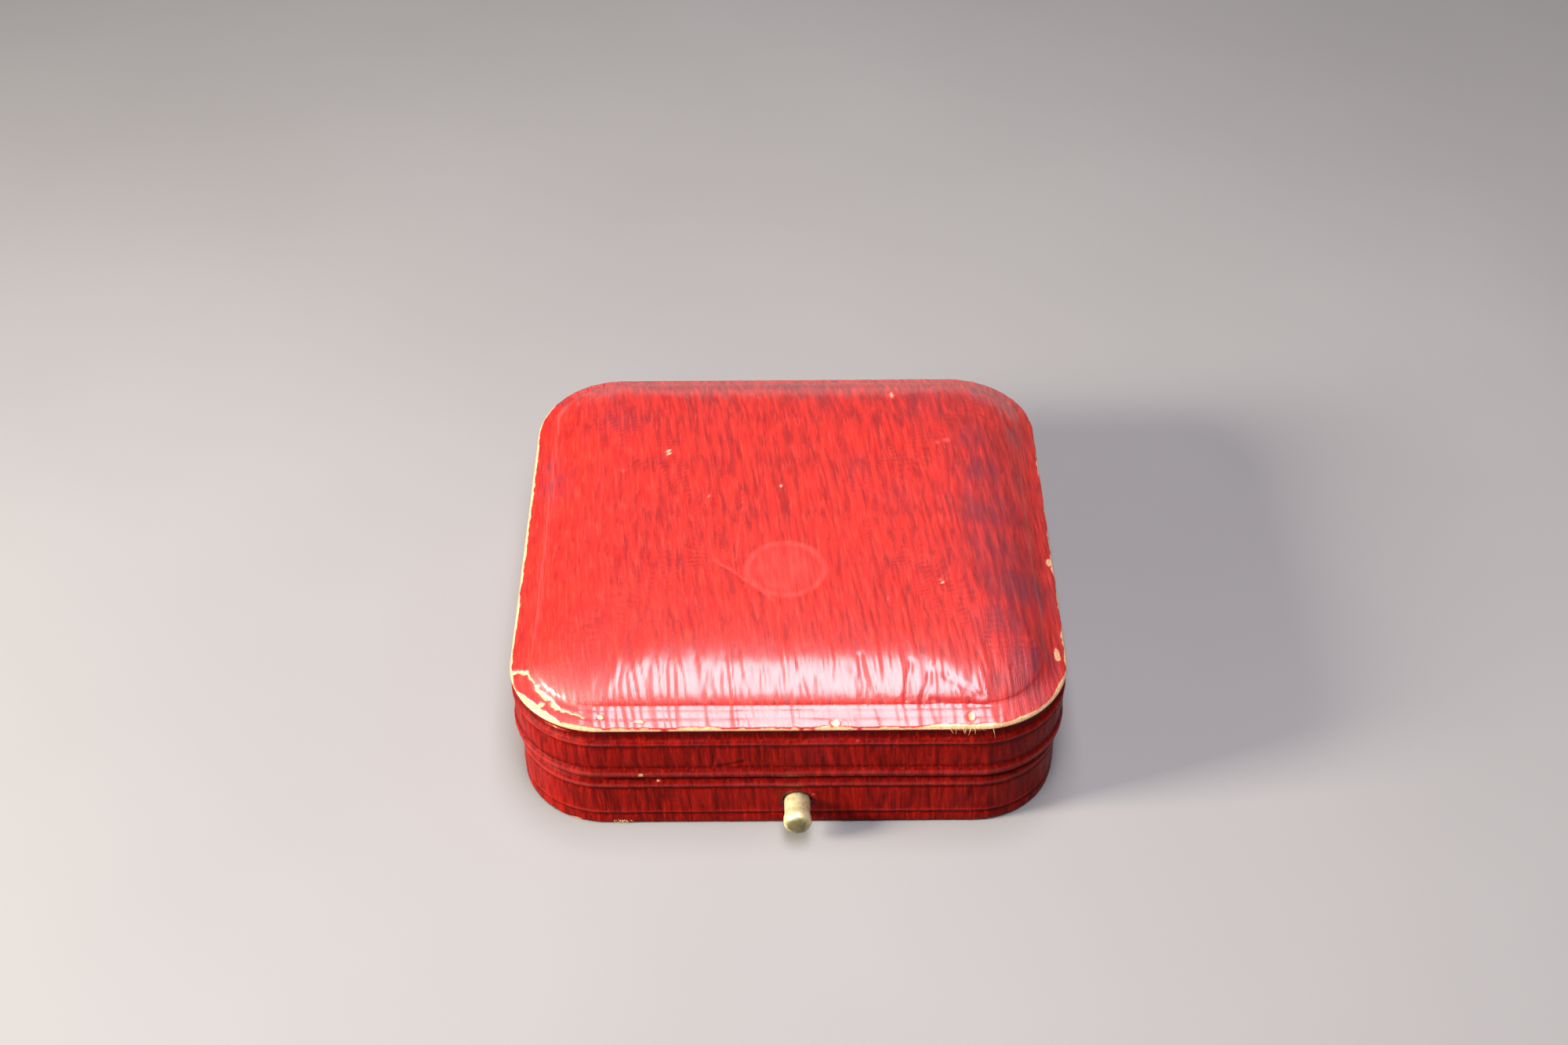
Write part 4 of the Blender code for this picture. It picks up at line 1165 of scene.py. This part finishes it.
PUFF_SCALE = 10
PUFF_STEP = 3
PADDING_CLOTH = {
    "quality": 6, "mass": 0.2, "tension_stiffness": 12, "compression_stiffness": 12,
    "shear_stiffness": 4, "bending_stiffness": 0.15, "use_pressure": True,
}


def puffed(points, faces, held, pressure, spare, frames, cap):
    """Inflates a closed cloth at ten times its size and returns how its points moved.

    held marks the points that stay, spare is how much wider the cloth is cut than the
    shape it covers, and cap is the furthest that a point may move, in millimetres.
    """
    mesh = bpy.data.meshes.new("puffing")
    mesh.from_pydata((points * MM * PUFF_SCALE).tolist(), [], faces)
    obj = bpy.data.objects.new("puffing", mesh)
    bpy.context.scene.collection.objects.link(obj)
    group = obj.vertex_groups.new(name="held")
    group.add(np.flatnonzero(held).tolist(), 1.0, "REPLACE")
    cloth = obj.modifiers.new("cloth", "CLOTH")
    for key, value in PADDING_CLOTH.items():
        setattr(cloth.settings, key, value)
    cloth.settings.uniform_pressure_force = pressure
    cloth.settings.effector_weights.gravity = 0
    cloth.settings.vertex_group_mass = group.name
    cloth.settings.shrink_min = -spare
    cloth.collision_settings.use_self_collision = False
    scene = bpy.context.scene
    for step in range(1, frames + 1):
        scene.frame_set(step)
    graph = bpy.context.evaluated_depsgraph_get()
    result = obj.evaluated_get(graph).to_mesh()
    moved = np.zeros(len(points) * 3, np.float32)
    result.vertices.foreach_get("co", moved)
    moved = moved.reshape(-1, 3).astype(float) / (MM * PUFF_SCALE) - points
    scene.frame_set(1)
    bpy.data.objects.remove(obj, do_unlink=True)
    bpy.data.meshes.remove(mesh)
    length = np.linalg.norm(moved, axis=1, keepdims=True)
    return moved * np.minimum(1, cap / np.maximum(length, 1e-9))


def shrunk_rings(half, radius, insets):
    """Rings inset from an outline, turning into scaled copies past the corner radius."""
    keep = min(3.0, radius * 0.5)
    rings = []
    for inset in insets:
        if inset <= keep:
            rings.append((half[0] - inset, half[1] - inset, radius - inset))
        else:
            share = 1 - (inset - keep) / (half[1] - keep)
            rings.append(tuple(share * v for v in (half[0] - keep, half[1] - keep, radius - keep)))
    return rings


def pad_shape(half, radius, insets, height, levels, down):
    """A closed pad: a disc shaped by height(x, y, inset), and sides at the given levels.

    Returns the points, the faces, which points are held and the inset of each disc point.
    """
    x, y, ring, _, _, faces, loop = disc(shrunk_rings(half, radius, insets))
    inset = insets[ring]
    top = np.stack([x, y, height(x, y, inset)], axis=1)
    rows = []
    for level in levels:
        row = top[loop]
        row[:, 2] = level
        rows.append(row)
    points, faces = close_disc(top, faces, loop, rows)
    if down:
        faces = [face[::-1] for face in faces]
    held = np.ones(len(points), bool)
    held[: len(top)] = inset == 0
    return points, faces, held, inset


def finer(grid, factor):
    """A square grid of values made factor times as fine, by smooth interpolation."""
    for _ in range(2):
        last = len(grid) - 1
        place = np.arange(last * factor + 1) / factor
        cell = np.minimum(place.astype(int), last - 1)
        t = (place - cell)[:, None, None]
        before, low, high, after = (grid[np.clip(cell + k, 0, last)] for k in (-1, 0, 1, 2))
        swing = 3 * t**2 - 2 * t**3
        start = (t**3 - 2 * t**2 + t) * (high - before) / 2
        end = (t**3 - t**2) * (after - low) / 2
        grid = (low * (1 - swing) + high * swing + start + end).swapaxes(0, 1)
    return grid


def stuffed(shape, insets, push):
    """A pad's shape, swollen by a simulation of every third ring of it.

    shape and push are the arguments of pad_shape and of puffed. Returns the points, the
    faces and each point's inset.
    """
    half, radius, height, levels, down = shape
    points, faces, _, inset = pad_shape(half, radius, insets, height, levels, down)
    coarse = pad_shape(half, radius, insets[::PUFF_STEP], height, levels, down)
    moved = puffed(*coarse[:3], *push)[: len(coarse[3])]
    side = math.isqrt(len(moved))
    points[: len(inset)] += finer(moved.reshape(side, side, 3), PUFF_STEP).reshape(-1, 3)
    sides = np.zeros(len(points) - len(inset))
    return points, faces, np.concatenate([inset, sides])


def satin_pad():
    """A stuffed satin pad under the lid, gathered round its edge."""
    low, high = box_mm("lid_satin_pad")
    half, depth = (high[0], high[1]), high[2] - low[2]
    insets = np.concatenate([[0.0, 0.12, 0.3, 0.55, 0.85, 1.2, 1.6, 2.05], np.linspace(2.5, half[1], 56)])

    def height(x, y, inset):
        crown = (1 - (1 - np.clip(inset / 7.0, 0, 1)) ** 2.2) * 0.62 * depth
        return high[2] - 0.35 * depth - crown * 0.55

    shape = (half, LID_RADIUS - 4.6, height, [high[2]], True)
    points, faces, away = stuffed(shape, insets, (5.0, 0.05, 24, 1.1))
    around = np.arctan2(points[:, 1], points[:, 0])
    gather = noise(np.cos(around) * 9, np.sin(around) * 9, 0.02 * away)
    gather += 0.5 * noise(np.cos(around) * 19, np.sin(around) * 19, 0.02 * away)
    fold = 0.35 * gather * np.exp(-((away / 4.5) ** 2)) * smooth(0.0, 0.6, away)
    points[:, 2] = np.clip(points[:, 2] + fold, low[2] - 0.1, high[2])
    obj = new_object("lid_pad_satin", points, faces, "lid", 70)
    dress(obj, SATIN, "satin", "lid_satin_pad")


WELL_HALF = (17.0, 12.0)
WELL_RADIUS = 8.0
WELL_FLOOR_Z = 4.4


def inside_well(x, y):
    """How far a point is inside the well's outline, which has round corners."""
    past_x = np.abs(x) - WELL_HALF[0] + WELL_RADIUS
    past_y = np.abs(y) - WELL_HALF[1] + WELL_RADIUS
    corner_x, corner_y = np.maximum(past_x, 0), np.maximum(past_y, 0)
    return WELL_RADIUS - np.hypot(corner_x, corner_y) - np.minimum(np.maximum(past_x, past_y), 0)


def velvet_bed():
    """The padded bed, with its rounded well."""
    low, high = box_mm("velvet_bed")
    half, top = (high[0], high[1]), high[2]
    insets = np.concatenate([[0.0, 0.08, 0.2, 0.36, 0.56, 0.8, 1.1], np.linspace(1.45, half[1], 84)])

    def height(x, y, inset):
        edge = 0.8 * (1 - np.sqrt(np.clip(1 - (1 - np.clip(inset / 0.8, 0, 1)) ** 2, 0, 1)))
        well = smooth(-1.0, 2.3, inside_well(x, y)) * (top - WELL_FLOOR_Z)
        soft = 0.12 * noise(x / 8, 1.0, y / 8) + 0.05 * noise(x / 2.5, 2.0, y / 2.5)
        return top - edge - well + soft * smooth(0.5, 3, inset)

    shape = (half, BASE_RADIUS - 5.5, height, [top - 1.4, top - 3.0, low[2]], False)
    points, faces, _ = stuffed(shape, insets, (2.0, 0.0, 16, 0.35))
    obj = new_object("bed_velvet", points, faces, "base", 60)
    room = base_catch_cutters()
    cut_away(obj, room)
    remove(room)
    dress(obj, VELVET, "velvet", "velvet_bed")


# ---------------------------------------------------------------- loose fibres


def fibres(name, places, body, lean):
    """Torn leather fibres: thin curved cones, each from a point on an edge."""
    sides, steps = 5, 5
    turn = np.arange(sides) * 2 * math.pi / sides
    t = np.linspace(0, 1, steps)[:, None]
    points, faces = [], []
    for place, length, thick in places:
        direction = np.array(lean, float) + RNG.normal(scale=0.35, size=3)
        direction /= np.linalg.norm(direction)
        curl = RNG.normal(scale=0.3, size=3)
        across = Vector(direction).orthogonal().normalized()
        beside = Vector(direction).cross(across)
        circle = np.outer(np.cos(turn), across) + np.outer(np.sin(turn), beside)
        centres = np.array(place) + length * (direction * t + curl * t * t * 0.5)
        faces += tube_faces(steps, sides, len(points) * steps * sides)
        points.append(centres[:, None] + circle * thick * (1 - 0.8 * t)[:, None])
    obj = new_object(name, np.concatenate(points).reshape(-1, 3), faces, body)
    x, y, z = points_of(obj).T
    count = np.ones_like(x)
    finish_leather(obj, np.stack([x, y, z], axis=1), count, 0 * count, count)
    dress(obj, SHADED_WALL_LEATHER, "red_leather")


def torn_edges():
    lid = []
    for x in (18.9, 19.6, 20.3, 20.7, 21.2, 21.5, 22.1, 22.6, 23.5, 24.8):
        lid.append(((x, LID_LOW[1] + 0.05, 18.2), RNG.uniform(0.35, 0.95), 0.05))
    fibres("lid_edge_fibres", lid, "lid", (0.1, -0.25, -1.0))
    base = []
    for x in np.linspace(-22.3, -20.2, 9):
        base.append(((x, BASE_LOW[1] + 0.1, 0.75), RNG.uniform(0.35, 0.55), 0.07))
    fibres("base_edge_fibres", base, "base", (0.1, -0.5, -0.7))


# ---------------------------------------------------------------- CAD nodes that stay


BRASS_NODES = ("latch_bolt", "latch_housing", "hinge_base_leaf", "hinge_lid_leaf", "lid_keeper")
NAILED = ("latch_nail", "hinge_base_nail", "hinge_lid_nail", "keeper_nail")
NAILS = tuple(f"{nail}_{side}" for nail in NAILED for side in ("left", "right"))
KEPT = (
    (WOOD, ("base_wood_frame", "lid_wood_frame", "lid_top_board")),
    (CARD, ("base_bottom_board", "bed_board", "lid_dome_core", "lid_pad_board")),
    (PAPER, ("base_underside_panel",)),
    (BRASS, BRASS_NODES + NAILS),
    (STEEL, ("latch_spring", "hinge_pin")),
)


def kept_nodes():
    for finish, names in KEPT:
        for name in names:
            data = NODES[name].data
            data.materials.clear()
            data.materials.append(finish)
    for name in BRASS_NODES:
        eased = NODES[name].modifiers.new("eased_edges", "BEVEL")
        eased.width = 0.05 * MM
        eased.segments = 2
        eased.limit_method = "ANGLE"
        eased.angle_limit = math.radians(40)


def spring_gives_way():
    """Gives the catch's coil its own copy of its mesh; it is not shortened."""
    low, high = box_mm("latch_spring")
    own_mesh(NODES["latch_spring"])


# ---------------------------------------------------------------- floor, light, camera


def floor():
    size = 900.0
    corners = [(-size, -size, 0), (size, -size, 0), (size, size, 0), (-size, size, 0)]
    obj = new_object("floor", corners, [(0, 1, 2, 3)], None)
    made, tree, shader = material("pale_floor")
    tone = cloud(tree, object_mm(tree), 0.01, 3, 0.5)
    colour = ramp(tree, tone, [(0.3, (0.180, 0.178, 0.174)), (0.7, (0.198, 0.196, 0.192))])
    connect(tree, shader, Base_Color=colour, Roughness=0.9, Specular_IOR_Level=0.08)
    obj.data.materials.append(made)


def area_light(name, place, aim, size, power, colour=(1, 1, 1), spread=180):
    data = bpy.data.lights.new(name, "AREA")
    data.shape = "RECTANGLE"
    data.size, data.size_y = size
    data.energy = power
    data.color = colour
    data.spread = math.radians(spread)
    obj = bpy.data.objects.new(name, data)
    bpy.context.scene.collection.objects.link(obj)
    obj.location = place
    obj.rotation_mode = "QUATERNION"
    obj.rotation_quaternion = (Vector(aim) - Vector(place)).to_track_quat("-Z", "Y")


# (name, place, aim, size, power, colour, spread), in metres, watts and degrees.
LIGHTS = (
    ("overhead", (0.015, -0.10, 0.42), (0.01, -0.02, 0.02), (0.13, 0.40), 4.3, (0.98, 0.92, 1)),
    ("left_key", (-0.44, -0.14, 0.20), (0, -0.02, 0.01), (0.12, 0.12), 2.7, (1, 0.93, 0.82), 100),
    ("back_sheen", (0.0, 0.46, 0.42), (0, 0, 0.02), (0.9, 0.30), 0.14),
    ("back_fill", (0.10, 0.60, 0.08), (0, 0, 0.02), (0.7, 0.16), 0.3),
)


def lights():
    world = bpy.data.worlds.new("studio")
    world.use_nodes = True
    world.node_tree.nodes["Background"].inputs["Color"].default_value = (1, 1, 1, 1)
    world.node_tree.nodes["Background"].inputs["Strength"].default_value = 0.04
    bpy.context.scene.world = world
    for light in LIGHTS:
        area_light(*light)


# The camera at the photograph's viewing angle: metres, degrees and millimetres.
CAMERA_PLACE = (-0.001102, -0.203977, 0.207167)
CAMERA_ANGLES = (42.3345, 0.1931, -0.24)
CAMERA_LENS = 47.795


def camera():
    """Looks down on the case from the front."""
    pitch, yaw, roll = (math.radians(angle) for angle in CAMERA_ANGLES)
    forward = Vector(
        (math.sin(yaw) * math.cos(pitch), math.cos(yaw) * math.cos(pitch), -math.sin(pitch))
    )
    right = Vector((math.cos(yaw), -math.sin(yaw), 0))
    up = right.cross(forward)
    turned_right = math.cos(roll) * right + math.sin(roll) * up
    turned_up = math.cos(roll) * up - math.sin(roll) * right
    data = bpy.data.cameras.new("camera")
    data.sensor_width = 36
    data.lens = CAMERA_LENS
    data.clip_start = 0.01
    obj = bpy.data.objects.new("camera", data)
    bpy.context.scene.collection.objects.link(obj)
    turn = Matrix((turned_right, turned_up, -forward)).transposed()
    obj.matrix_world = Matrix.Translation(CAMERA_PLACE) @ turn.to_4x4()
    bpy.context.scene.camera = obj


bpy.context.scene.view_settings.view_transform = "Standard"
camera()
lights()
floor()
lid_top_skin()
leather_walls()
knob()
linings()
velvet_bed()
satin_pad()
torn_edges()
kept_nodes()
spring_gives_way()
